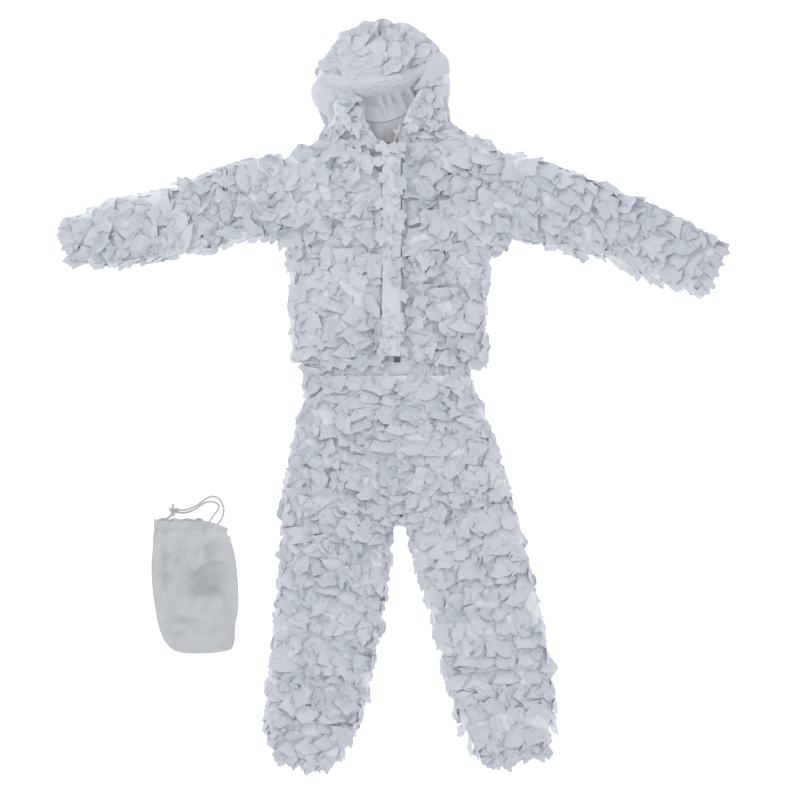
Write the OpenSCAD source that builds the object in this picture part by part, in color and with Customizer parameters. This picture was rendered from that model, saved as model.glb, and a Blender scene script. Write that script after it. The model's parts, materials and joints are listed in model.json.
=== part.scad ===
// Snow ghillie suit, laid out flat on its back: hooded jacket, trousers and drawstring bag.
// Millimetres. +Z is up from the floor, +Y runs from the feet to the hood, +X to the viewer's right.
// The origin is on the floor, at the centre of the suit's own rectangle.

/* [Layers] */
// Depth of the leaf cover squashed under the suit
back_fluff = 18; // [10:1:30]
// Thickness drawn for the base cloth
cloth = 3; // [2:0.5:4]
// Hollow between the front and the back cloth, where the wearer goes
hollow = 18; // [14:1:30]
// Depth of the leaf cover on the front
front_fluff = 34; // [24:1:46]
// Spacing of the sewn rows of leaves
row_pitch = 62; // [45:1:90]

/* [Jacket] */
// X of the jacket's centre line
jacket_x = -16; // [-30:1:10]
// Width across the chest
chest_w = 530; // [500:2:560]
// Width at the hem
hem_w = 520; // [490:2:540]
// Y of the jacket's lower edge
hem_y = 96; // [90:1:110]
// Y of the armpits
armpit_y = 425; // [415:1:435]
// Y of the shoulders beside the neck
shoulder_y = 690; // [680:1:700]
// Y of the seam between the jacket and the hood
neck_y = 736; // [730:1:745]
// Width of the neck seam
neck_w = 330; // [310:2:350]
// Height of the elastic hem band
hem_band = 18; // [14:1:24]

/* [Front opening] */
// X of the middle of the zip
zip_x = -22; // [-26:1:-18]
// Width of one zip tape
tape_w = 14; // [12:1:16]
// Y of the zip's top end
zip_top_y = 680; // [670:1:684]
// Y of the top edge of the placket flap
flap_top_y = 684; // [600:1:686]
// Width of the placket flap
flap_w = 46; // [42:1:50]

/* [Sleeves] */
// Half-width of the sleeve at the shoulder, and the radius of its round head
shoulder_r = 100; // [92:1:106]
// Half-width of the sleeve at the elbow, and the radius of the lower sleeve's round head
elbow_r = 88; // [80:1:94]
// Length from shoulder to elbow
upper_sleeve_len = 290; // [270:1:320]
// Length from elbow to cuff, left sleeve, without the elastic
lower_sleeve_len_left = 252; // [235:1:270]
// Length from elbow to cuff, right sleeve, without the elastic
lower_sleeve_len_right = 265; // [240:1:275]
// Half-width at the left cuff
cuff_r_left = 54; // [45:1:70]
// Half-width at the right cuff
cuff_r_right = 72; // [45:1:80]
// Length of the elastic cuffs and ankles
cuff_len = 18; // [14:1:24]

/* [Trousers] */
// Width of the waistband
waist_w = 450; // [420:2:480]
// Half-width of the left thigh, and the radius of its round head
hip_r_left = 148; // [140:1:150]
// Half-width of the right thigh, and the radius of its round head
hip_r_right = 143; // [136:1:146]
// Half-width at the left knee
knee_r_left = 130; // [120:1:136]
// Half-width at the right knee
knee_r_right = 136; // [126:1:142]
// Half-width at the left ankle
ankle_r_left = 74; // [60:1:90]
// Half-width at the right ankle
ankle_r_right = 82; // [60:1:95]
// Length from hip to knee
thigh_len = 366; // [350:1:380]
// Length from knee to ankle, without the elastic
shin_len = 326; // [310:1:340]

/* [Hood] */
// X of the hood's middle
hood_x = -39; // [-45:1:-30]
// Half-width of the crown
hood_r = 174; // [165:1:180]
// Height of the crown above the floor
hood_h = 122; // [105:1:140]
// Y of the hood's top edge
hood_top_y = 1004; // [995:1:1012]
// Y of the lowest point of the brim
brim_y = 815; // [806:1:830]

/* [Bag] */
// Thickness of the empty bag, lying flat
bag_t = 22; // [20:1:30]
// Diameter of the drawcord
cord_d = 5; // [4:0.5:5]

/* [Hidden] */
$fn = 64;

// Heights of the layers, from the floor up
back_cloth_z = back_fluff;
hollow_z = back_cloth_z + cloth;
front_cloth_z = hollow_z + hollow;
cover_z = front_cloth_z + cloth;
top_z = cover_z + front_fluff;
cloth_t = 2 * cloth + hollow;

// Room left between pieces that move against each other
play = 1.2;
// Width of the side walls of the cloth tubes and of the seams
wall = 5;
// Depth and width of the grooves between rows of leaves
groove = 9;

// Where the limbs start, which way they point and how far they swing, in degrees about +Z
shoulder_left = [-345, 548];
shoulder_right = [336, 545];
upper_sleeve_dir_left = 195;
upper_sleeve_dir_right = -17;
lower_sleeve_dir_left = 191.5;
lower_sleeve_dir_right = -24.5;
shoulder_swing = 35;
elbow_swing = 45;
elbow_swing_back = 10;
hip_left = [-150, -290];
hip_right = [165, -290];
thigh_dir_left = 264;
thigh_dir_right = 285;
shin_dir_left = 259.5;
shin_dir_right = 281;
hip_swing = 10;
hip_swing_in = 4;
elbow_left = along(shoulder_left, upper_sleeve_dir_left, upper_sleeve_len);
elbow_right = along(shoulder_right, upper_sleeve_dir_right, upper_sleeve_len);
knee_left = along(hip_left, thigh_dir_left, thigh_len);
knee_right = along(hip_right, thigh_dir_right, thigh_len);

// The zip: the coil's section, the slider's body, and the pull tab's pin
coil_w = 2.5;
coil_gap = 1.0;
coil_t = 2.8;
coil_z = cover_z - 0.8;
zip_half_w = coil_gap + coil_w + tape_w;
slider_l = 14;
slider_w = 14;
slider_y = zip_top_y - 12;
slider_base_z = coil_z - 2.2;
slider_roof_z = coil_z + coil_t + 1;
pin_z = slider_roof_z + 3.4;
pin_y = slider_y + 3;
pull_l = 18;
flap_z = pin_z + pull_l + 3.6;
flap_t = 2.5;
flap_edge_x = zip_x + 32;

// The bag: its outline, its mouth and the cord's own route along the floor
bag_wall = 2.4;
casing_h = 24;
casing_left = -657;
inner_exit_x = -522;
outer_exit_x = -494;
casing_y = -345;
channel_z = 3.6;
cord_z = cord_d / 2;
knot_at = [-603, -306];
inner_route = [
    [-522, -345, 18.4], [-516, -345, 18], [-507, -337, 14], [-500, -327, 8], [-494, -318, 3.5],
    [-487, -309, 2.5], [-481, -300, 2.5], [-482, -290, 2.5], [-491, -283, 2.5], [-503, -281, 2.5],
    [-516, -284, 2.5], [-529, -291, 2.5], [-542, -300, 2.5], [-556, -307, 2.5], [-572, -311, 3],
    [-585, -311, 5], [-596, -309, 7]
];
outer_route = [
    [-494, -345, 3.6], [-488, -345, 3.5], [-480, -338, 3], [-473, -328, 2.5], [-469, -317, 2.5],
    [-467, -305, 2.5], [-469, -293, 2.5], [-474, -281, 2.5], [-482, -272, 2.5], [-493, -267, 2.5],
    [-505, -268, 2.5], [-516, -274, 2.5], [-527, -282, 2.5], [-540, -291, 2.5], [-554, -298, 2.5],
    [-570, -303, 3], [-584, -304, 5], [-596, -303, 7]
];

function along(p, dir, d) = [p[0] + d * cos(dir), p[1] + d * sin(dir)];

// One side of a limb: the points half-widths away from its centre line, side = 1 or -1
function limb_side(p, dir, stations, side) = [
    for (s = stations) along(along(p, dir, s[0]), dir + 90, side * s[1])
];
function reversed(list) = [for (i = [len(list) - 1:-1:0]) list[i]];

// Points of an arc, about every nine degrees
function arc(p, r, from, to) = [
    let (n = round(abs(to - from) / 9)) for (i = [0:n]) along(p, from + (to - from) * i / n, r)
];

// Flat outline of a limb, from stations of [distance, half-width]
module limb(p, dir, stations) {
    polygon(concat(limb_side(p, dir, stations, 1), reversed(limb_side(p, dir, stations, -1))));
}

module slab(z, h) {
    translate([0, 0, z]) linear_extrude(h) children();
}

// Long bars that cut the grooves between rows of leaves, the rows running across dir
module row_grooves(p, dir, from, to, half_len) {
    for (d = [from:row_pitch:to])
        translate(concat(along(p, dir, d), [top_z - groove]))
            rotate(dir) translate([-groove / 2, -half_len, 0]) cube([groove, 2 * half_len, groove + 1]);
}

// ---- Flat outlines of the jacket ----

// A limb with a round head: an arc about the point it turns on, then its two sides
module headed_limb(p, dir, r, stations) {
    polygon(concat(arc(p, r, dir + 90, dir + 270), limb_side(p, dir, stations, -1),
        reversed(limb_side(p, dir, stations, 1))));
}

// Stations after the round head; grow adds clearance
function upper_sleeve_stations(grow = 0) = [[upper_sleeve_len - 42, elbow_r + 2 + grow]];
function lower_sleeve_stations(len, cuff_r) = [[len * 0.45, elbow_r * 0.94], [len, cuff_r]];

// The room that a round-headed limb needs as it turns to each of the swings
module swept_void(p, dir, swings, r, stations) {
    polygon(arc(p, (r + play) / cos(4.5), 0, 351));
    for (a = swings) limb(p, dir + a, concat([[0, r + play]], stations));
}

module shoulder_void(p, dir, swing) {
    swept_void(p, dir, [0, swing], shoulder_r, upper_sleeve_stations(play));
}

module torso_outline() {
    difference() {
        polygon([
            [jacket_x - hem_w / 2, hem_y + hem_band + 0.2], [jacket_x - chest_w / 2, hem_y + 120],
            [jacket_x - chest_w / 2 - 4, armpit_y - 60], [jacket_x - chest_w / 2 - 14, armpit_y],
            [-300, 470], [-326, 638], [jacket_x - 196, shoulder_y], [jacket_x - neck_w / 2, neck_y],
            [jacket_x + neck_w / 2, neck_y], [jacket_x + 262, shoulder_y], [322, 632], [294, 470],
            [jacket_x + chest_w / 2 + 18, armpit_y], [jacket_x + chest_w / 2, armpit_y - 60],
            [jacket_x + chest_w / 2 - 8, hem_y + 120], [jacket_x + hem_w / 2, hem_y + hem_band + 0.2]
        ]);
        shoulder_void(shoulder_left, upper_sleeve_dir_left, shoulder_swing);
        shoulder_void(shoulder_right, upper_sleeve_dir_right, -shoulder_swing);
    }
}

// The neck opening, which only the front has
module neck_opening() {
    polygon([[-72, neck_y + 1], [14, neck_y + 1], [zip_x + 21, zip_top_y + 6], [zip_x - 21, zip_top_y + 6]]);
}

module left_of(x) { translate([x - 1000, -1500]) square([1000, 3000]); }
module right_of(x) { translate([x, -1500]) square([1000, 3000]); }

module jacket_back_cloth() {
    color("lavender") slab(back_cloth_z, cloth) torso_outline();
}

module jacket_back_leaf_cover() {
    color("gainsboro") slab(0, back_fluff) torso_outline();
}

module front_cloth_outline() {
    difference() {
        torso_outline();
        neck_opening();
    }
}

module jacket_front_left_cloth() {
    color("lavender") slab(front_cloth_z, cloth) intersection() {
        front_cloth_outline();
        left_of(zip_x - slider_w / 2 - play);
    }
}

module jacket_front_right_cloth() {
    color("lavender") slab(front_cloth_z, cloth) intersection() {
        front_cloth_outline();
        right_of(zip_x + slider_w / 2 + play);
    }
}

module jacket_front_left_leaf_cover() {
    color("whitesmoke") difference() {
        slab(cover_z, front_fluff) intersection() {
            front_cloth_outline();
            left_of(zip_x - tape_w - 6);
        }
        row_grooves([0, hem_y], 90, row_pitch, neck_y - hem_y, 420);
    }
}

module jacket_front_right_leaf_cover() {
    color("whitesmoke") difference() {
        slab(cover_z, front_fluff) intersection() {
            front_cloth_outline();
            right_of(flap_edge_x + 9);
        }
        row_grooves([0, hem_y], 90, row_pitch, neck_y - hem_y, 420);
    }
}

// A strip that joins the front and the back cloth, drawn between two points of the outline
module seam_strip(a, b) {
    dir = atan2(b[1] - a[1], b[0] - a[0]);
    slab(hollow_z, hollow) translate(a) rotate(dir) square([norm(b - a), wall]);
}

module jacket_seams() {
    color("lightsteelblue") {
        seam_strip([jacket_x - chest_w / 2 + wall + 1, armpit_y - 64],
            [jacket_x - hem_w / 2 + wall + 1, hem_y + hem_band + 1]);
        seam_strip([jacket_x + hem_w / 2 - wall - 1, hem_y + hem_band + 1],
            [jacket_x + chest_w / 2 - 10 - wall, armpit_y - 64]);
        seam_strip([jacket_x - neck_w / 2 + 2, neck_y - 10], [-300, 642]);
        seam_strip([296, 636], [jacket_x + neck_w / 2 + 12, neck_y - 16]);
    }
}

module hem_strip(x0, x1, z) {
    translate([x0, hem_y, z]) cube([x1 - x0, hem_band, 7]);
}

module jacket_hem_elastic() {
    left = jacket_x - hem_w / 2 + 6;
    right = jacket_x + hem_w / 2 - 6;
    color("silver") {
        hem_strip(left, right, back_cloth_z - 4);
        hem_strip(left, zip_x - zip_half_w - play, front_cloth_z);
        hem_strip(zip_x + zip_half_w + play, right, front_cloth_z);
    }
}

// ---- Neck label, left blank ----

label_w = 40;
label_h = 40;

module neck_label() {
    color("tan") translate([zip_x + 11 - label_w / 2, neck_y - label_h - 4, hollow_z])
        cube([label_w, label_h, 1.2]);
}

// ---- Front zip and placket ----

module zip_tape(x0) {
    color("white") translate([x0, hem_y, cover_z]) cube([tape_w, zip_top_y - hem_y + 2, 1.2]);
}

module zip_tape_left() { zip_tape(zip_x - coil_gap - coil_w - tape_w); }
module zip_tape_right() { zip_tape(zip_x + coil_gap + coil_w); }

module zip_coil(x0) {
    color("lightgray") translate([x0, hem_y + 6, coil_z]) cube([coil_w, zip_top_y - hem_y - 8, coil_t]);
}

module zip_coil_left() { zip_coil(zip_x - coil_gap - coil_w); }
module zip_coil_right() { zip_coil(zip_x + coil_gap); }

// Two clips at the top of the coil and one across its foot
module zip_stops() {
    half = coil_gap + coil_w;
    stop_w = coil_w + 0.5;
    color("silver") {
        for (x = [zip_x - half, zip_x + half - stop_w])
            translate([x, zip_top_y - 1.8, coil_z]) cube([stop_w, 3.6, coil_t]);
        translate([zip_x - half, hem_y + 1, coil_z]) cube([2 * half, 4.8, coil_t]);
    }
}

// Base plate, roof plate and the post that runs between the two rows of coil, with lugs for the pull
module zip_slider() {
    plate_t = 1.4;
    post_w = 1.2;
    color("gainsboro") translate([zip_x, slider_y, 0]) {
        translate([-slider_w / 2, -slider_l / 2, slider_base_z]) cube([slider_w, slider_l, plate_t]);
        translate([-slider_w / 2, -slider_l / 2, slider_roof_z]) cube([slider_w, slider_l, plate_t]);
        translate([-post_w / 2, slider_l / 2 - 5, slider_base_z + 0.2])
            cube([post_w, 5, slider_roof_z - slider_base_z + 0.4]);
        for (side = [-1, 1])
            translate([side * 4.2 - 0.8, pin_y - slider_y - 1.8, slider_roof_z + 1])
                cube([1.6, 3.6, pin_z - slider_roof_z + 0.8]);
        translate([-5, pin_y - slider_y, pin_z]) rotate([0, 90, 0]) cylinder(r = 0.8, h = 10, $fn = 32);
    }
}

// Eye round the slider's pin, and a flat tab that hangs down from it
module zip_pull() {
    eye_w = 6.2;
    color("gainsboro") difference() {
        union() {
            translate([zip_x - eye_w / 2, pin_y, pin_z]) rotate([0, 90, 0]) cylinder(r = 1.7, h = eye_w, $fn = 32);
            translate([zip_x - eye_w / 2, pin_y - pull_l, pin_z - 0.7]) cube([eye_w, pull_l, 1.4]);
        }
        translate([zip_x - 6, pin_y, pin_z]) rotate([0, 90, 0]) cylinder(r = 0.86, h = 12, $fn = 32);
        translate([zip_x, pin_y - pull_l + 5, pin_z - 2]) cylinder(r = 1.6, h = 4, $fn = 32);
    }
}

module placket_seam() {
    color("lavender") translate([flap_edge_x + 1, hem_y + hem_band, cover_z])
        cube([7, flap_top_y - hem_y - hem_band, flap_z - flap_t / 2 - cover_z - play]);
}

// The flap over the zip, turning about the rolled edge where it is sewn on
module placket_flap() {
    long = flap_top_y - hem_y - hem_band;
    color("white") translate([flap_edge_x, hem_y + hem_band, flap_z]) {
        translate([-flap_w, 0, -flap_t / 2]) cube([flap_w, long, flap_t]);
        rotate([-90, 0, 0]) cylinder(r = flap_t / 2, h = long, $fn = 32);
    }
}

// ---- Hood ----

hood_at = [hood_x, hood_top_y - hood_r];
brim_r = 300;
brim_at = [hood_x - 53, brim_y + brim_r];
neck_left = jacket_x - neck_w / 2;
neck_right = jacket_x + neck_w / 2;

// The hood as it lies: a round top, drawn in to the neck seam below
module hood_outline(inset = 0) {
    low = neck_y + play + inset;
    polygon(concat(arc(hood_at, hood_r - inset, -10, 190), [
        [hood_x - 163 + inset, 776], [neck_left + inset, 757], [neck_left + inset, low],
        [neck_right - inset, low], [hood_x + 176 - inset, 778]
    ]));
}

// The leafy crown's lower edge sags between the two sides of the face opening
module crown_outline(r, rise) {
    intersection() {
        translate(hood_at) circle(r);
        translate([brim_at[0], brim_at[1] + rise]) circle(brim_r);
    }
}

module hood_back_cloth() {
    color("lavender") slab(back_cloth_z, cloth) hood_outline();
}

module hood_back_leaf_cover() {
    color("gainsboro") slab(0, back_fluff) hood_outline();
}

// The domed top of the hood, hollow under its cloth and open towards the face
crown_cloth_h = hood_h - 38;

module hood_crown_cloth() {
    color("lavender") difference() {
        union() {
            slab(hollow_z + 2.2, crown_cloth_h - 28.2) crown_outline(hood_r - 8, 0);
            slab(hollow_z + 10, crown_cloth_h - hollow_z - 10) crown_outline(hood_r - 40, 4);
        }
        slab(hollow_z - 1, crown_cloth_h - 34) translate(hood_at) circle(hood_r - 16);
        slab(hollow_z + 5, crown_cloth_h - hollow_z - 12) translate(hood_at) circle(hood_r - 48);
    }
}

module hood_crown_leaf_cover() {
    color("whitesmoke") difference() {
        union() {
            slab(hollow_z, hood_h - 50) crown_outline(hood_r, 0);
            slab(hollow_z + 20, hood_h - 36 - hollow_z) crown_outline(hood_r - 26, 4);
            slab(hollow_z + 30, hood_h - 30 - hollow_z) crown_outline(hood_r - 60, 12);
        }
        slab(hollow_z - 1, crown_cloth_h - 24.7) translate(hood_at) circle(hood_r - 7.8);
        slab(hollow_z + 5, crown_cloth_h - hollow_z - 4.8) translate(hood_at) circle(hood_r - 39.8);
    }
}

// Smooth inner cloth: a sheet on the hood's back, and the roll that it makes at the left of the face
module hood_lining() {
    color("ghostwhite") {
        slab(hollow_z, 2) hood_outline(10);
        slab(hollow_z + 1.8, 28)
            polygon([[-212, 813], [-213, 800], [-202, 779], [-183, 765], [-170, 788], [-140, 801], [-128, 808]]);
    }
}

// The leafy front edges of the hood, from the neck seam up to the crown
module hood_front_bands() {
    low = neck_y + play;
    color("whitesmoke") slab(hollow_z + 2, top_z - hollow_z - 2) {
        polygon([[-176, low], [-80, low], [-104, 770], [-138, 795], [-166, 783]]);
        polygon([[14, low], [34, 779], [52, 800], [76, 832], [134, 826], [134, 776], [144, low]]);
    }
}

// Elastic band that draws in the edge of the crown over the face
module hood_brim_binding() {
    color("silver") slab(hollow_z + 30, 10) intersection() {
        difference() {
            translate(brim_at) circle(brim_r + 12);
            translate(brim_at) circle(brim_r + 0.2);
        }
        translate([hood_x - 165, brim_y - 20]) square([300, 90]);
    }
}

// ---- Sleeves and legs ----

// Flattened cloth tube over the children's outline; the passage is given by its own limb
module cloth_tube(p, dir, passage) {
    color("lavender") difference() {
        slab(back_cloth_z, cloth_t) children();
        slab(hollow_z, hollow) limb(p, dir, passage);
    }
}

// Leaf covers over and under the children's outline, grooved between the rows
module leaf_covers(p, dir, from, to, half_len) {
    color("whitesmoke") {
        slab(0, back_fluff) children();
        difference() {
            slab(cover_z, front_fluff) children();
            row_grooves(p, dir, from, to, half_len);
        }
    }
}

module upper_sleeve_outline(p, dir, elbow, lower_dir, swing) {
    difference() {
        headed_limb(p, dir, shoulder_r, upper_sleeve_stations());
        swept_void(elbow, lower_dir, [0, swing, -sign(swing) * elbow_swing_back], elbow_r,
            [[120, elbow_r + play]]);
    }
}

module upper_sleeve_cloth(p, dir, elbow, lower_dir, swing) {
    cloth_tube(p, dir, [[-shoulder_r - 5, shoulder_r - wall], [0, shoulder_r - wall],
        [upper_sleeve_len, elbow_r - wall]])
        upper_sleeve_outline(p, dir, elbow, lower_dir, swing);
}

module upper_sleeve_leaf_cover(p, dir, elbow, lower_dir, swing) {
    leaf_covers(p, dir, 20, upper_sleeve_len, 130)
        upper_sleeve_outline(p, dir, elbow, lower_dir, swing);
}

module lower_sleeve_cloth(p, dir, len, cuff_r) {
    cloth_tube(p, dir, [[-elbow_r - 5, elbow_r - wall], [0, elbow_r - wall], [len + 1, cuff_r - wall]])
        headed_limb(p, dir, elbow_r, lower_sleeve_stations(len, cuff_r));
}

module lower_sleeve_leaf_cover(p, dir, len, cuff_r) {
    leaf_covers(p, dir, 20, len - 30, 130)
        headed_limb(p, dir, elbow_r, lower_sleeve_stations(len, cuff_r));
}

// A short elastic tube that ends a sleeve or a trouser leg
module elastic_end(p, dir, from, r) {
    color("silver") difference() {
        slab(back_cloth_z - 2, cloth_t + 4) limb(p, dir, [[from, r], [from + cuff_len, r - 3]]);
        slab(hollow_z, hollow) limb(p, dir, [[from - 1, r - wall], [from + cuff_len + 1, r - wall - 3]]);
    }
}

function thigh_stations(hip_r, knee_r, grow = 0) = [
    [thigh_len * 0.5, (hip_r + knee_r) / 2 + 2 + grow], [thigh_len + 40, knee_r + grow]
];
function shin_stations(knee_r, ankle_r) = [
    [play, knee_r], [shin_len * 0.3, knee_r + 3], [shin_len * 0.68, knee_r * 0.9], [shin_len, ankle_r]
];

// The thigh ends square to the shin, so that the shin folds up about one straight line
module thigh_outline(p, dir, hip_r, knee, shin_dir, knee_r) {
    difference() {
        headed_limb(p, dir, hip_r, thigh_stations(hip_r, knee_r));
        translate(knee) rotate(shin_dir) translate([0, -250]) square([200, 500]);
    }
}

module thigh_cloth(p, dir, hip_r, knee, shin_dir, knee_r) {
    cloth_tube(p, dir, [[-hip_r - 5, hip_r - wall], [0, hip_r - wall], [thigh_len + 60, knee_r - wall]])
        thigh_outline(p, dir, hip_r, knee, shin_dir, knee_r);
}

module thigh_leaf_cover(p, dir, hip_r, knee, shin_dir, knee_r) {
    leaf_covers(p, dir, 10, thigh_len - 20, 180)
        thigh_outline(p, dir, hip_r, knee, shin_dir, knee_r);
}

module shin_cloth(p, dir, knee_r, ankle_r) {
    cloth_tube(p, dir, [[-1, knee_r - wall], [shin_len * 0.68, knee_r * 0.9 - wall], [shin_len + 1, ankle_r - wall]])
        limb(p, dir, shin_stations(knee_r, ankle_r));
}

module shin_leaf_cover(p, dir, knee_r, ankle_r) {
    leaf_covers(p, dir, 30, shin_len - 20, 180)
        limb(p, dir, shin_stations(knee_r, ankle_r));
}

module upper_sleeve_left_cloth() {
    upper_sleeve_cloth(shoulder_left, upper_sleeve_dir_left, elbow_left, lower_sleeve_dir_left, elbow_swing);
}
module upper_sleeve_left_leaf_cover() {
    upper_sleeve_leaf_cover(shoulder_left, upper_sleeve_dir_left, elbow_left, lower_sleeve_dir_left, elbow_swing);
}
module upper_sleeve_right_cloth() {
    upper_sleeve_cloth(shoulder_right, upper_sleeve_dir_right, elbow_right, lower_sleeve_dir_right, -elbow_swing);
}
module upper_sleeve_right_leaf_cover() {
    upper_sleeve_leaf_cover(shoulder_right, upper_sleeve_dir_right, elbow_right, lower_sleeve_dir_right,
        -elbow_swing);
}
module lower_sleeve_left_cloth() {
    lower_sleeve_cloth(elbow_left, lower_sleeve_dir_left, lower_sleeve_len_left, cuff_r_left);
}
module lower_sleeve_left_leaf_cover() {
    lower_sleeve_leaf_cover(elbow_left, lower_sleeve_dir_left, lower_sleeve_len_left, cuff_r_left);
}
module lower_sleeve_right_cloth() {
    lower_sleeve_cloth(elbow_right, lower_sleeve_dir_right, lower_sleeve_len_right, cuff_r_right);
}
module lower_sleeve_right_leaf_cover() {
    lower_sleeve_leaf_cover(elbow_right, lower_sleeve_dir_right, lower_sleeve_len_right, cuff_r_right);
}
module cuff_elastic_left() {
    elastic_end(elbow_left, lower_sleeve_dir_left, lower_sleeve_len_left, cuff_r_left);
}
module cuff_elastic_right() {
    elastic_end(elbow_right, lower_sleeve_dir_right, lower_sleeve_len_right, cuff_r_right);
}

module thigh_left_cloth() {
    thigh_cloth(hip_left, thigh_dir_left, hip_r_left, knee_left, shin_dir_left, knee_r_left);
}
module thigh_left_leaf_cover() {
    thigh_leaf_cover(hip_left, thigh_dir_left, hip_r_left, knee_left, shin_dir_left, knee_r_left);
}
module thigh_right_cloth() {
    thigh_cloth(hip_right, thigh_dir_right, hip_r_right, knee_right, shin_dir_right, knee_r_right);
}
module thigh_right_leaf_cover() {
    thigh_leaf_cover(hip_right, thigh_dir_right, hip_r_right, knee_right, shin_dir_right, knee_r_right);
}
module shin_left_cloth() { shin_cloth(knee_left, shin_dir_left, knee_r_left, ankle_r_left); }
module shin_left_leaf_cover() { shin_leaf_cover(knee_left, shin_dir_left, knee_r_left, ankle_r_left); }
module shin_right_cloth() { shin_cloth(knee_right, shin_dir_right, knee_r_right, ankle_r_right); }
module shin_right_leaf_cover() { shin_leaf_cover(knee_right, shin_dir_right, knee_r_right, ankle_r_right); }
module ankle_elastic_left() { elastic_end(knee_left, shin_dir_left, shin_len, ankle_r_left); }
module ankle_elastic_right() { elastic_end(knee_right, shin_dir_right, shin_len, ankle_r_right); }

// ---- Trousers ----

trousers_x = -24;
waist_y = hem_y - play;
waist_band = 36;

module hip_void(p, dir, hip_r, knee_r, swing) {
    swept_void(p, dir, [0, swing, -sign(swing) * hip_swing_in], hip_r, thigh_stations(hip_r, knee_r, play));
}

module pelvis_outline() {
    top = waist_y - waist_band - 0.2;
    difference() {
        polygon([
            [trousers_x - waist_w / 2 + 2, top], [-238, 10], [-262, -50], [-284, -150], [-294, -290],
            [0, -345], [22, -345], [304, -290], [274, -150], [246, -60], [214, 10], [trousers_x + waist_w / 2 - 2, top]
        ]);
        hip_void(hip_left, thigh_dir_left, hip_r_left, knee_r_left, -hip_swing);
        hip_void(hip_right, thigh_dir_right, hip_r_right, knee_r_right, hip_swing);
        translate([-600, -1290]) square([590, 1000]);
        translate([32, -1290]) square([600, 1000]);
    }
}

module trousers_back_cloth() {
    color("lavender") slab(back_cloth_z, cloth) pelvis_outline();
}
module trousers_back_leaf_cover() {
    color("gainsboro") slab(0, back_fluff) pelvis_outline();
}
module trousers_front_cloth() {
    color("lavender") slab(front_cloth_z, cloth) pelvis_outline();
}
module trousers_front_leaf_cover() {
    color("whitesmoke") difference() {
        slab(cover_z, front_fluff) pelvis_outline();
        row_grooves([0, waist_y - waist_band], 270, row_pitch * 0.7, 380, 420);
    }
}

module trousers_side_seams() {
    color("lightsteelblue") {
        seam_strip([-230, 8], [-278, -150]);
        seam_strip([268, -150], [206, 8]);
    }
}

module waistband_elastic() {
    low = waist_y - waist_band;
    color("silver") difference() {
        translate([trousers_x - waist_w / 2, low, back_cloth_z - 4]) cube([waist_w, waist_band, cloth_t + 8]);
        translate([trousers_x - waist_w / 2 + wall, low - 1, hollow_z]) cube([waist_w - 2 * wall, waist_band + 2, hollow]);
    }
}

// ---- Drawstring bag ----

module bag_outline() {
    polygon([
        [-655, -358], [-658, -400], [-660, -450], [-657, -520], [-638, -625], [-620, -662], [-600, -682],
        [-570, -690], [-520, -690], [-447, -680], [-437, -626], [-428, -525], [-437, -425], [-452, -380],
        [-468, -358]
    ]);
}

module bag_back_panel() {
    color("lightgray") slab(0, bag_wall) bag_outline();
}
module bag_front_panel() {
    color("lightgray") slab(bag_t - bag_wall, bag_wall) bag_outline();
}

// The seam round the sides and the bottom, which leaves the mouth open
module bag_seams() {
    color("silver") slab(bag_wall, bag_t - 2 * bag_wall) difference() {
        bag_outline();
        polygon([
            [-651, -350], [-655, -450], [-652, -520], [-633, -624], [-616, -658], [-597, -677],
            [-570, -685], [-520, -685], [-451, -675], [-442, -626], [-433, -525], [-442, -427],
            [-457, -382], [-470, -350]
        ]);
    }
}

// Two hems along the mouth, one on each panel, joined at the left corner of the mouth. Each has the
// channel that the drawcord runs in, and the corner has the room for its turn
module bag_mouth_casing() {
    bore_d = cord_d + 0.6;
    corner = 20;
    color("lightgray") difference() {
        union() {
            for (hem = [[0, outer_exit_x], [bag_t - 2 * channel_z, inner_exit_x]])
                translate([casing_left, casing_y - casing_h / 2, hem[0]])
                    cube([hem[1] - casing_left, casing_h, 2 * channel_z]);
            translate([casing_left, casing_y - casing_h / 2, 0]) cube([corner, casing_h, bag_t]);
        }
        for (z = [channel_z, bag_t - channel_z])
            translate([casing_left + 2, casing_y, z]) rotate([0, 90, 0]) cylinder(d = bore_d, h = 200, $fn = 32);
        translate([casing_left + 2, casing_y - bore_d / 2, 0.8]) cube([corner, bore_d, bag_t - 1.6]);
    }
}

// The hidden part of the cord: along one hem, round the corner of the mouth and back along the other
module bag_drawcord_in_casing() {
    turn_r = bag_t / 2 - channel_z;
    turn_x = casing_left + 13;
    color("white") {
        translate([turn_x, casing_y, channel_z]) rotate([0, 90, 0])
            cylinder(d = cord_d, h = outer_exit_x - turn_x, $fn = 32);
        translate([turn_x, casing_y, bag_t - channel_z]) rotate([0, 90, 0])
            cylinder(d = cord_d, h = inner_exit_x - turn_x, $fn = 32);
        translate([turn_x, casing_y, bag_t / 2]) rotate([90, 0, 0]) rotate(90)
            rotate_extrude(angle = 180, $fn = 64) translate([turn_r, 0]) circle(d = cord_d, $fn = 32);
    }
}

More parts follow.
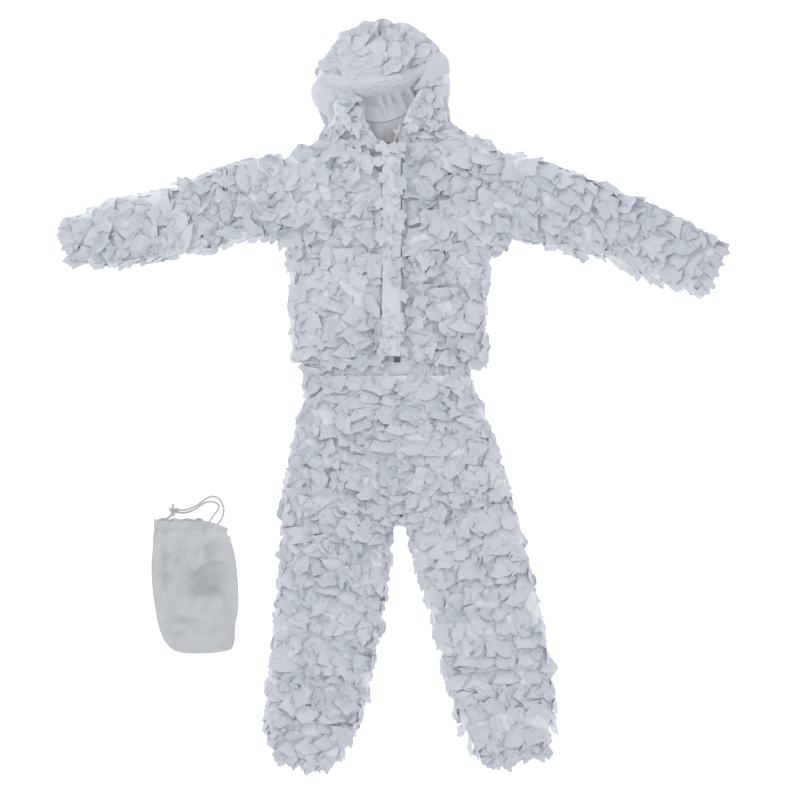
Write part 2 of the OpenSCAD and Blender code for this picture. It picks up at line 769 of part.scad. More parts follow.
// A tube of round section swept along a route: a ring of points at each route point
function unit(v) = v / norm(v);
function heading(route, i) =
    unit(route[min(i + 1, len(route) - 1)] - route[max(i - 1, 0)]);
function ring(centre, dir, r, sides) = [
    for (k = [0:sides - 1])
        let (across = unit(cross(dir, [0, 0, 1])), up = cross(across, dir), a = 360 * k / sides)
        centre + r * (cos(a) * across + sin(a) * up)
];
module cord_tube(route, d, sides = 8) {
    n = len(route);
    points = [for (i = [0:n - 1]) each ring(route[i], heading(route, i), d / 2, sides)];
    walls = [
        for (i = [0:n - 2], k = [0:sides - 1])
            let (next = (k + 1) % sides)
            [i * sides + k, i * sides + next, (i + 1) * sides + next, (i + 1) * sides + k]
    ];
    ends = [reversed([for (k = [0:sides - 1]) k]), [for (k = [0:sides - 1]) (n - 1) * sides + k]];
    polyhedron(points, concat(walls, ends), convexity = 6);
}

module bag_drawcord_inner() {
    color("white") cord_tube(inner_route, cord_d);
}
module bag_drawcord_outer() {
    color("white") cord_tube(outer_route, cord_d);
}

// Both ends of the cord tied together, with two short tails
module bag_cord_knot() {
    color("white") translate([knot_at[0], knot_at[1], 0]) {
        translate([0, 0, 9]) sphere(r = 9, $fn = 48);
        translate([0, 0, 3]) rotate([0, 90, 228]) cylinder(d = cord_d, h = 32, $fn = 24);
        translate([0, 0, 3]) rotate([0, 90, 93]) cylinder(d = cord_d, h = 18, $fn = 24);
    }
}

jacket_back_cloth();
jacket_back_leaf_cover();
jacket_front_left_cloth();
jacket_front_left_leaf_cover();
jacket_front_right_cloth();
jacket_front_right_leaf_cover();
jacket_seams();
jacket_hem_elastic();
neck_label();
zip_tape_left();
zip_tape_right();
zip_coil_left();
zip_coil_right();
zip_stops();
zip_slider();
zip_pull();
placket_seam();
placket_flap();
hood_back_cloth();
hood_back_leaf_cover();
hood_crown_cloth();
hood_crown_leaf_cover();
hood_lining();
hood_front_bands();
hood_brim_binding();
upper_sleeve_left_cloth();
upper_sleeve_left_leaf_cover();
upper_sleeve_right_cloth();
upper_sleeve_right_leaf_cover();
lower_sleeve_left_cloth();
lower_sleeve_left_leaf_cover();
lower_sleeve_right_cloth();
lower_sleeve_right_leaf_cover();
cuff_elastic_left();
cuff_elastic_right();
trousers_back_cloth();
trousers_back_leaf_cover();
trousers_front_cloth();
trousers_front_leaf_cover();
trousers_side_seams();
waistband_elastic();
thigh_left_cloth();
thigh_left_leaf_cover();
thigh_right_cloth();
thigh_right_leaf_cover();
shin_left_cloth();
shin_left_leaf_cover();
shin_right_cloth();
shin_right_leaf_cover();
ankle_elastic_left();
ankle_elastic_right();
bag_back_panel();
bag_front_panel();
bag_seams();
bag_mouth_casing();
bag_drawcord_in_casing();
bag_drawcord_inner();
bag_drawcord_outer();
bag_cord_knot();
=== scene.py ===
"""Looks of the snow ghillie suit: leaf-covered hooded jacket, trousers and drawstring bag, laid flat."""
import json
import math

import bpy
import numpy as np
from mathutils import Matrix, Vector


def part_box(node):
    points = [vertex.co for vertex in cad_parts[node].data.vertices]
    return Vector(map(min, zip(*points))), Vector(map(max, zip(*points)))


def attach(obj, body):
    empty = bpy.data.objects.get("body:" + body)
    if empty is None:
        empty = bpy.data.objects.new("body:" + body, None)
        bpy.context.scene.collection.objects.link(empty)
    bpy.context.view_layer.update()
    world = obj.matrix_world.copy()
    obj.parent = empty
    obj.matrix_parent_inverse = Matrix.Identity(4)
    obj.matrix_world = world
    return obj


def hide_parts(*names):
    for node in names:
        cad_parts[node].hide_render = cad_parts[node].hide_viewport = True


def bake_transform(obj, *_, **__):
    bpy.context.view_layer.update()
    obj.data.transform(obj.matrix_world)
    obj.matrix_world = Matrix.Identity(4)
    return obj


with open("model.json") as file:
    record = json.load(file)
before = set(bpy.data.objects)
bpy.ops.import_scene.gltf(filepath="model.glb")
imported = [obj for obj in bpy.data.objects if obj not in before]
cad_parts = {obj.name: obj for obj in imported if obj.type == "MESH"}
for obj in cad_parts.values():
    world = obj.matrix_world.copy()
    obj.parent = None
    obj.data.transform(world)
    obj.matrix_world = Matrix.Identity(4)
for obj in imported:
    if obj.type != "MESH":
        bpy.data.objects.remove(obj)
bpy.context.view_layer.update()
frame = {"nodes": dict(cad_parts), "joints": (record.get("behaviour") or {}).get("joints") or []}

MM = 0.001
joints = {j["name"]: j for j in frame["joints"]}


def box_mm(node):
    """Lowest and highest corner of a CAD node, in millimetres."""
    low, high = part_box(node)
    return np.array(low) / MM, np.array(high) / MM


def joint_mm(name):
    return np.array(joints[name]["pos_m"]) / MM


# ---------------------------------------------------------------- floor, camera and light
def look_down_camera():
    """Straight above the suit, framed like the reference: 2.16 m across the picture."""
    height, width = 7.0, 2.16
    cam = bpy.data.cameras.new("camera")
    cam.sensor_width = 36
    cam.lens = 36 * (height - 0.05) / width
    cam.clip_end = 50
    cam.dof.use_dof = False
    obj = bpy.data.objects.new("camera", cam)
    obj.location = (0.012, -0.005, height)
    bpy.context.scene.collection.objects.link(obj)
    bpy.context.scene.camera = obj


def area_light(name, place, size, power):
    """A square white lamp that faces the middle of the floor."""
    lamp = bpy.data.lights.new(name, "AREA")
    lamp.shape, lamp.size, lamp.energy = "SQUARE", size, power
    obj = bpy.data.objects.new(name, lamp)
    obj.location = place
    obj.rotation_euler = Vector([-c for c in place]).to_track_quat("-Z", "Y").to_euler()
    bpy.context.scene.collection.objects.link(obj)


look_down_camera()
area_light("key_light", (-2.2, 2.6, 3.0), 2.4, 36)
area_light("fill_light", (2.6, -2.4, 3.6), 3.0, 24)
world = bpy.data.worlds.new("studio")
world.use_nodes = True
backdrop = world.node_tree.nodes["Background"].inputs
backdrop["Color"].default_value, backdrop["Strength"].default_value = (1, 1, 1, 1), 0.66
bpy.context.scene.world = world
bpy.context.scene.view_settings.view_transform = "Standard"
bpy.context.scene.view_settings.look = "None"


# ---------------------------------------------------------------- materials
def new_material(name):
    mat = bpy.data.materials.new(name)
    mat.use_nodes = True
    return mat, mat.node_tree.nodes, mat.node_tree.links, mat.node_tree.nodes["Principled BSDF"]


def noise_node(nodes, links, coords, scale, detail=2.0):
    noise = nodes.new("ShaderNodeTexNoise")
    noise.inputs["Scale"].default_value = scale
    noise.inputs["Detail"].default_value = detail
    links.new(coords, noise.inputs["Vector"])
    return noise.outputs["Fac"]


def math_node(nodes, links, kind, a, b):
    node = nodes.new("ShaderNodeMath")
    node.operation = kind
    for socket, value in zip(node.inputs, (a, b)):
        if isinstance(value, (int, float)):
            socket.default_value = value
        else:
            links.new(value, socket)
    return node.outputs["Value"]


def colour_ramp(nodes, links, shader, fac, *stops):
    """The surface's colour, between (position, colour) stops."""
    ramp = nodes.new("ShaderNodeValToRGB")
    for element, (position, colour) in zip(ramp.color_ramp.elements, stops):
        element.position, element.color = position, (*colour, 1)
    links.new(fac, ramp.inputs["Fac"])
    links.new(ramp.outputs["Color"], shader.inputs["Base Color"])


def add_bump(nodes, links, shader, height, strength, distance):
    bump = nodes.new("ShaderNodeBump")
    bump.inputs["Strength"].default_value = strength
    bump.inputs["Distance"].default_value = distance
    links.new(height, bump.inputs["Height"])
    links.new(bump.outputs["Normal"], shader.inputs["Normal"])


def cloth_material(name, cool, warm, thread=1.1, weave=0.25, crumple=0.6, tone_and_painted_light=True, crease=0.0):
    """Matt woven cloth: two sets of threads, a crumple, and colour that drifts between two shades."""
    mat, nodes, links, shader = new_material(name)
    coords = nodes.new("ShaderNodeTexCoord").outputs["Object"]
    maths = lambda kind, a, b: math_node(nodes, links, kind, a, b)
    # colour: a slow drift, plus the tone attribute: each flap's own tone, with painted light in it (painted highlights
    # on flap rims, painted shade on the hood lining and the bag)
    drift = noise_node(nodes, links, coords, 7.0, 3.0)
    if tone_and_painted_light:
        flap = nodes.new("ShaderNodeAttribute")
        flap.attribute_name = "tone_and_painted_light"
        drift = maths("ADD", maths("MULTIPLY", drift, 0.6), maths("MULTIPLY", flap.outputs["Fac"], 0.7))
    colour_ramp(nodes, links, shader, drift, (0.28, cool), (0.98, warm))
    shader.inputs["Roughness"].default_value = 0.82
    shader.inputs["Sheen Weight"].default_value = 0.25
    shader.inputs["Sheen Roughness"].default_value = 0.4
    # threads both ways, thread millimetres apart or a little less
    threads = []
    for axis in ("X", "Y"):
        wave = nodes.new("ShaderNodeTexWave")
        wave.bands_direction = axis
        wave.inputs["Scale"].default_value = 1000 / thread / 6.28 * 0.5
        wave.inputs["Distortion"].default_value = 0.6
        links.new(coords, wave.inputs["Vector"])
        threads.append(wave.outputs["Fac"])
    height = maths("ADD", maths("MULTIPLY", maths("MAXIMUM", *threads), weave),
                   maths("MULTIPLY", noise_node(nodes, links, coords, 60.0, 4.0), crumple))
    if crease:
        # sharp-topped creases, where a slow noise crosses its middle value
        off = maths("ABSOLUTE", maths("SUBTRACT", noise_node(nodes, links, coords, 26.0, 2.5), 0.5), 0)
        height = maths("SUBTRACT", height, maths("MULTIPLY", off, 14 * crease))
    add_bump(nodes, links, shader, height, 0.5, 0.002)
    return mat


LEAF = cloth_material("leaf_cloth", (0.675, 0.722, 0.787), (0.76, 0.79, 0.865), crease=1.1)
# painted light: the base cloth is coloured brighter than the leaf cloth, to lift the shade in the pockets under the
# flaps
BASE_PAINTED_BRIGHT = cloth_material("base_cloth", (0.85, 0.885, 0.95), (0.89, 0.92, 0.975), crease=1.0, tone_and_painted_light=False)
SMOOTH = cloth_material("smooth_cloth", (0.69, 0.725, 0.81), (0.75, 0.78, 0.865), crumple=0.3, tone_and_painted_light=False)
# the lining cloth's colour spans from dark to light for the painted shade carried in its tone attribute
LINING_PAINTED_SHADE = cloth_material("lining_cloth", (0.56, 0.595, 0.67), (0.82, 0.85, 0.92), crumple=0.3)
PLACKET = cloth_material("placket_cloth", (0.77, 0.81, 0.87), (0.83, 0.865, 0.92), crumple=0.25, tone_and_painted_light=False)
LABEL = cloth_material("label_cloth", (0.60, 0.56, 0.55), (0.66, 0.62, 0.61), thread=0.6, crumple=0.1, tone_and_painted_light=False)
ELASTIC = cloth_material("elastic_cloth", (0.72, 0.765, 0.83), (0.79, 0.825, 0.89), thread=1.6, tone_and_painted_light=False)
# the bag cloth's colour spans from dark to light for the painted shade carried in its tone attribute
BAG = cloth_material("bag_cloth", (0.45, 0.47, 0.49), (0.68, 0.70, 0.73), thread=0.8, crumple=0.35)
CORD = cloth_material("cord_braid", (0.58, 0.585, 0.60), (0.70, 0.705, 0.72), thread=1.8, weave=0.8, tone_and_painted_light=False)
TAPE = cloth_material("zip_tape", (0.66, 0.68, 0.73), (0.70, 0.72, 0.77), thread=0.9, crumple=0.1, tone_and_painted_light=False)


def hard_material(name, colour, rough, metallic=0.0):
    """Smooth plastic or metal with a faint mottle."""
    mat, nodes, links, shader = new_material(name)
    coords = nodes.new("ShaderNodeTexCoord").outputs["Object"]
    colour_ramp(nodes, links, shader, noise_node(nodes, links, coords, 240.0, 3.0),
                (0.0, [c * 0.88 for c in colour]), (1.0, colour))
    shader.inputs["Roughness"].default_value = rough
    shader.inputs["Metallic"].default_value = metallic
    add_bump(nodes, links, shader, noise_node(nodes, links, coords, 900.0, 2.0), 0.15, 0.0004)
    return mat


NYLON = hard_material("zip_coil", (0.72, 0.73, 0.77), 0.45)
METAL = hard_material("zip_metal", (0.70, 0.71, 0.74), 0.35, 0.15)


# ---------------------------------------------------------------- mesh helpers
def make_mesh(name, points_mm, faces, material, tone_and_painted_light=None, smooth=True):
    """A mesh object from points in millimetres. faces is a list of index arrays, each (n, 3) or (n, 4)."""
    mesh = bpy.data.meshes.new(name)
    points = np.asarray(points_mm, np.float32).reshape(-1, 3) * MM
    mesh.vertices.add(len(points))
    mesh.vertices.foreach_set("co", points.ravel())
    faces = [np.asarray(f, np.int32) for f in faces if len(f)]
    sizes = np.concatenate([np.full(len(f), f.shape[1], np.int32) for f in faces])
    corners = np.concatenate([f.ravel() for f in faces])
    mesh.loops.add(len(corners))
    mesh.loops.foreach_set("vertex_index", corners)
    mesh.polygons.add(len(sizes))
    mesh.polygons.foreach_set("loop_start", np.concatenate([[0], np.cumsum(sizes)[:-1]]).astype(np.int32))
    mesh.polygons.foreach_set("loop_total", sizes)
    mesh.polygons.foreach_set("use_smooth", np.full(len(sizes), smooth))
    if tone_and_painted_light is not None:
        mesh.attributes.new("tone_and_painted_light", "FLOAT", "POINT").data.foreach_set("value", np.asarray(tone_and_painted_light, np.float32))
    mesh.update(calc_edges=True)
    mesh.validate()
    mesh.materials.append(material)
    obj = bpy.data.objects.new(name, mesh)
    bpy.context.scene.collection.objects.link(obj)
    return obj


def grid_faces(rows, cols, closed=False):
    """Quads of a grid of rows by cols points; closed joins the last column to the first."""
    r, c = np.meshgrid(np.arange(rows - 1), np.arange(cols if closed else cols - 1), indexing="ij")
    nxt = (c + 1) % cols
    return np.stack([r * cols + c, r * cols + nxt, (r + 1) * cols + nxt, (r + 1) * cols + c], -1).reshape(-1, 4)


def ripple(x, y, length, seed, count=7):
    """Smooth uneven waves of about that wavelength, from -1 to 1 or so."""
    rng = np.random.default_rng(seed)
    total = np.zeros(np.broadcast(x, y).shape)
    for _ in range(count):
        k = 2 * np.pi / (length * rng.uniform(0.6, 1.6))
        a = rng.uniform(0, 2 * np.pi)
        total = total + np.cos(k * (x * np.cos(a) + y * np.sin(a)) + rng.uniform(0, 2 * np.pi))
    return total / count ** 0.5 / 1.4


def folds(x, y, long, short, angle, seed):
    """Creased cloth, from -1 to 1: folds with sharp tops, long one way and short the other."""
    c, s = math.cos(angle), math.sin(angle)
    wave = ripple((x * c + y * s) / long, (y * c - x * s) / short, 1.0, seed)
    return 1 - 2 * np.sqrt(np.minimum(wave ** 2 + 0.01, 1))


def smoothstep(a, b, x):
    t = np.clip((x - a) / (b - a), 0, 1)
    return t * t * (3 - 2 * t)


# ---------------------------------------------------------------- where the garment goes
def node_edges(*names):
    """Ends of all mesh edges of some CAD nodes, in millimetres."""
    ends = []
    for name in names:
        mesh = frame["nodes"][name].data
        points = np.array([v.co for v in mesh.vertices]) / MM
        ends.append(points[np.array([e.vertices[:] for e in mesh.edges])])
    return np.concatenate(ends)


def section(edges, origin, along, d):
    """Least and greatest distance to the left of a line, where the edges cross its point d."""
    side = np.array([-along[1], along[0]])
    rel = edges[:, :, :2] - np.array(origin)[:2]
    s = rel @ along - d
    cross = (s[:, 0] * s[:, 1]) <= 0
    s, rel = s[cross], rel[cross]
    gap = s[:, 0] - s[:, 1]
    gap[np.abs(gap) < 1e-9] = 1e-9
    lateral = (rel[:, 0] + (rel[:, 1] - rel[:, 0]) * (s[:, 0] / gap)[:, None]) @ side
    return lateral.min(), lateral.max()


class Loft:
    """A flattened tube of cloth: stations of centre, left vector, half-width, middle height and half-height."""

    def __init__(self, centre, left, half, mid, rise, power=4.5, bulge=None):
        self.centre, self.left = np.asarray(centre, float), np.asarray(left, float)
        self.half, self.mid, self.rise = (np.broadcast_to(np.asarray(v, float), len(self.centre)).copy()
                                          for v in (half, mid, rise))
        self.power = power
        self.bulge = bulge
        steps = np.linalg.norm(np.diff(self.centre, axis=0), axis=1)
        self.s = np.concatenate([[0], np.cumsum(steps)])

    def at(self, s):
        """Centre, left vector, half-width, middle height and half-height at distances s along the tube."""
        pick = lambda v: np.interp(s, self.s, v)
        centre = np.stack([pick(self.centre[:, 0]), pick(self.centre[:, 1])], -1)
        left = np.stack([pick(self.left[:, 0]), pick(self.left[:, 1])], -1)
        left /= np.linalg.norm(left, axis=-1, keepdims=True)
        return centre, left, pick(self.half), pick(self.mid), pick(self.rise)

    def drop(self, t):
        """Share of the half-height that is left at t, from -1 to 1 across the tube."""
        return np.clip(1 - np.abs(t) ** self.power, 0, 1) ** (1 / self.power)

    def place(self, s, t, top=True):
        """Points on the front (top) or back of the tube."""
        centre, left, half, mid, rise = self.at(s)
        xy = centre + left * (half * t)[..., None]
        z = mid + (1 if top else -1) * rise * self.drop(t)
        if top and self.bulge is not None:
            z = z + self.bulge(xy[..., 0], xy[..., 1]) * self.drop(t) ** 3
        return np.concatenate([xy, z[..., None]], -1)

    def ring(self, columns):
        """Places across and up, from -1 to 1, round the tube's cross-section."""
        a = np.linspace(0, 2 * np.pi, columns, endpoint=False)
        return (np.sign(v) * np.abs(v) ** (2 / self.power) for v in (np.cos(a), np.sin(a)))

    def skin(self, s, columns, seed, amp, calm_x=None):
        """Points and faces of the tube's own cloth, lightly rumpled on top but calm beside calm_x."""
        t, up = self.ring(columns)
        centre, left, half, mid, rise = self.at(s)
        xy = centre[:, None] + left[:, None] * (half[:, None] * t)[..., None]
        wave = amp * ripple(xy[..., 0], xy[..., 1], 60, seed) * np.clip(up, 0, 1)
        if calm_x is not None:
            wave = wave * smoothstep(0, 30, np.abs(xy[..., 0] - calm_x) - 26)
        z = mid[:, None] + rise[:, None] * up + wave
        if self.bulge is not None:
            z = z + self.bulge(xy[..., 0], xy[..., 1]) * np.clip(up, 0, 1) ** 3
        points = np.concatenate([xy, z[..., None]], -1).reshape(-1, 3)
        return points, grid_faces(len(s), columns, closed=True)

    def shell(self, name, s0, s1, material, seed, columns=44, step=9.0, amp=2.5):
        """The tube's own cloth from s0 to s1, open at both ends."""
        points, faces = self.skin(np.linspace(s0, s1, max(3, int((s1 - s0) / step) + 1)), columns, seed, amp)
        return make_mesh(name, points, [faces], material)


# ---------------------------------------------------------------- leaf flaps
RINGS, SECTORS, LOBES = 4, 20, 5


def leaf_template():
    rho = np.concatenate([[0], np.repeat(np.arange(1, RINGS + 1) / RINGS, SECTORS)])
    theta = np.concatenate([[0], np.tile(np.pi / 2 + 2 * np.pi * np.arange(SECTORS) / SECTORS, RINGS)])
    ring = lambda k: 1 + k * SECTORS + np.arange(SECTORS)
    nxt = lambda k: 1 + k * SECTORS + (np.arange(SECTORS) + 1) % SECTORS
    tris = np.stack([np.zeros(SECTORS, int), ring(0), nxt(0)], -1)
    quads = np.concatenate([np.stack([ring(k), ring(k + 1), nxt(k + 1), nxt(k)], -1) for k in range(RINGS - 1)])
    return rho, theta, tris, quads


RHO, THETA, LEAF_TRIS, LEAF_QUADS = leaf_template()
FLOOR_GAP = 0.6
CEILING = 84.0  # the top of the leaf layer, in millimetres


def zigzag(angle):
    """A folded wave: like a cosine, but with straight sides and creased tops."""
    return 1 - 4 * np.abs(np.mod(angle / (2 * np.pi), 1.0) - 0.5)


def hold_in(points, rise, ceiling, fence):
    """Presses points down over a ceiling, applies a fence, and keeps them a little off the floor."""
    if ceiling is not None:
        over = points[..., 2] - ceiling
        points[..., 2] = np.where(over > 0, ceiling + over * 0.2, points[..., 2])
    if fence is not None:
        points = fence(points)
    points[..., 2] = np.maximum(points[..., 2], FLOOR_GAP + 0.8 * rise)
    return points


def leaves(name, root, tip, normal, length, width, lift, ruffle, seed, ceiling=None, fence=None):
    """One mesh of many ruffled, lobed flaps. root, tip and normal are (n, 3): where each flap is sewn on, the way
    it points and the way out of the cloth. length, width, lift and ruffle are (n,) in millimetres."""
    rng = np.random.default_rng(seed)
    n = len(root)
    per_lobe = SECTORS // LOBES
    reach = np.empty((n, SECTORS))
    lobe = rng.uniform(0.84, 1.16, (n, LOBES))
    lobe[:, 0] *= 1.1
    valley = rng.uniform(0.66, 0.9, (n, LOBES))
    for k in range(LOBES):
        reach[:, k * per_lobe] = lobe[:, k]
        reach[:, k * per_lobe + 2] = valley[:, k]
    for j in range(1, SECTORS, 2):
        reach[:, j] = (reach[:, j - 1] + reach[:, (j + 1) % SECTORS]) / 2 * 1.02
    reach = np.concatenate([np.ones((n, 1)), np.tile(reach, RINGS)], 1)
    # lobes show at the rim, and the middle of the flap is round
    reach = 1 + (reach - 1) * RHO ** 1.5
    col = lambda v: v[:, None]
    q = col(width) / 2 * RHO * reach * np.cos(THETA)
    p = col(length) * (0.42 + 0.5 * RHO * reach * np.sin(THETA))
    share = np.clip(p / col(length), 0, 1.1)
    # the flap stands away from the cloth towards its tip, then falls back or curls up
    h = col(lift) * share ** rng.uniform(0.5, 1.2, (n, 1))
    # pleats fan out from where it is sewn on
    fan = np.arctan2(q, p + 0.12 * col(length))
    pleats = rng.uniform(5, 10, (n, 1))
    h = h + 0.55 * col(ruffle) * share * zigzag(pleats * fan + rng.uniform(0, 2 * np.pi, (n, 1)))
    # and the rim waves
    waves = rng.integers(2, 5, (n, 1))
    h = h + 0.8 * col(ruffle) * RHO ** 2 * np.cos(waves * THETA + rng.uniform(0, 2 * np.pi, (n, 1)))
    h = h + 0.4 * col(ruffle) * RHO ** 2 * np.cos((waves + 3) * THETA + rng.uniform(0, 2 * np.pi, (n, 1)))
    fold = rng.uniform(-0.5, 0.5, (n, 1)) + rng.choice([-0.2, 0.25], (n, 1))
    h = h - fold * np.abs(q) * col(ruffle) / 9
    h = h + q * np.tan(rng.uniform(-0.3, 0.3, (n, 1))) * col(ruffle) / 9
    curl = rng.uniform(-1.2, 0.8, (n, 1)) * col(ruffle) * 1.2
    h = h + curl * np.clip(share - 0.5, 0, 1) ** 2 * 4
    # a folded flap is narrower, and its line bends a little
    q = q * (1 - 0.25 * np.abs(fold)) + rng.uniform(-0.22, 0.22, (n, 1)) * p * share
    side = np.cross(normal, tip)
    points = (root[:, None] + p[..., None] * tip[:, None] + q[..., None] * side[:, None]
              + h[..., None] * normal[:, None])
    points = hold_in(points, RHO, ceiling, fence)
    shift = np.arange(n)[:, None, None] * len(RHO)
    faces = [(LEAF_TRIS[None] + shift).reshape(-1, 3), (LEAF_QUADS[None] + shift).reshape(-1, 4)]
    # each flap's own tone, plus a painted highlight that lightens it toward its rim
    tone_and_painted_light = np.repeat(rng.uniform(0, 1, n), len(RHO)) + np.tile(0.12 * (RHO - 0.5), n)
    return make_mesh(name, points.reshape(-1, 3), faces, LEAF, tone_and_painted_light)


def unit(v):
    return v / np.maximum(np.linalg.norm(v, axis=-1, keepdims=True), 1e-9)


def laid_on(normal, v):
    """The direction nearest to v that runs along the cloth."""
    return unit(v - normal * np.sum(v * normal, 1, keepdims=True))


def cloth_frame(loft, s, t, top=True):
    """Points on a tube's cloth, and unit vectors there: along the tube, across it and out of it."""
    def place(ds, dt):
        return loft.place((s + ds).ravel(), np.clip(t + dt, -1, 1).ravel(), top).reshape(*s.shape, 3)
    up = 1 if top else -1
    ahead = unit(place(3.0, 0) - place(-3.0, 0))
    across = unit(place(0, 0.02) - place(0, -0.02))
    normal = unit(np.cross(across, ahead))
    normal *= np.where(normal[..., 2:3] * up < 0, -1, 1)
    # near the edge the cloth is steep, but what is sewn on it still stands up
    return place(0, 0), ahead, across, unit(normal + 0.7 * np.abs(t[..., None]) ** 6 * [0, 0, up])


def flap_rows(loft, s0, s1, rng, row, gap, top, size, wander=0.5, over=(0, 16), keep=None):
    """Where the flaps of rows across a tube go, from s0 to s1: root, tip, normal, length, width and how near the
    tube's edge each one is. over is how far a tip may stand out past the edge, in millimetres."""
    s_all, t_all = [], []
    for k, s in enumerate(np.arange(s0, s1, row)):
        half = float(loft.at(np.array([s]))[2][0])
        count = max(2, int(2 * half / gap))
        t = (np.arange(count) + 0.5 * (k % 2) + 0.25) / count * 2 - 1
        t_all.append(np.clip(t + rng.uniform(-0.4, 0.4, count) * 2 / count, -0.97, 0.97))
        s_all.append(s + rng.uniform(-0.32, 0.32, count) * row)
    s, t = np.clip(np.concatenate(s_all), s0, s1), np.concatenate(t_all)
    n = len(s)
    length, width = rng.uniform(40, 70, n) * size, rng.uniform(34, 58, n) * size
    angle = np.clip(rng.normal(0, wander, n), -1.2, 1.2)
    half = loft.at(s)[2]
    # a flap that would stand out too far past the edge is sewn on further in
    lean = np.tan(angle) + 0.35 * np.sign(t) * np.abs(t) ** 3
    aside = lean / np.hypot(1, lean) * length * 0.9 + np.sign(t) * width * 0.32
    limit = half + rng.uniform(*over, n)
    excess = np.maximum(np.abs(t * half + aside) - limit, 0)
    t = np.clip(t - np.sign(t) * excess / half, -0.985, 0.985)
    root, ahead, across, normal = cloth_frame(loft, s, t, top)
    tip = laid_on(normal, unit(ahead + across * lean[:, None]))
    data = [root, tip, normal, length, width, np.abs(t)]
    if keep is not None:
        use = keep(root)
        data = [v[use] for v in data]
    return data


def front_flaps(name, loft, s0, s1, seed, size=1.0, lift=(6, 24), row=30.0, gap=25.0, fence=None, **more):
    """The layer of flaps on the upper side of a tube."""
    rng = np.random.default_rng(seed)
    *where, edge = flap_rows(loft, s0, s1, rng, row, gap, True, size, **more)
    inner = np.where(edge > 0.86, 0.55, 1.0)
    height = rng.uniform(*lift, len(edge)) * inner
    ruffle = rng.uniform(4.0, 10.0, len(edge)) * inner
    return leaves(name, *where, height, ruffle, seed + 1, ceiling=CEILING, fence=fence)


def back_flaps(name, loft, s0, s1, seed):
    """The flaps that the garment lies on, pressed flat."""
    rng = np.random.default_rng(seed)
    *where, edge = flap_rows(loft, s0, s1, rng, 44.0, 38.0, False, 1.3, wander=0.4, over=(0, 10))
    n = len(edge)
    return leaves(name, *where, rng.uniform(3, 11, n), rng.uniform(1.2, 3.4, n), seed + 1)


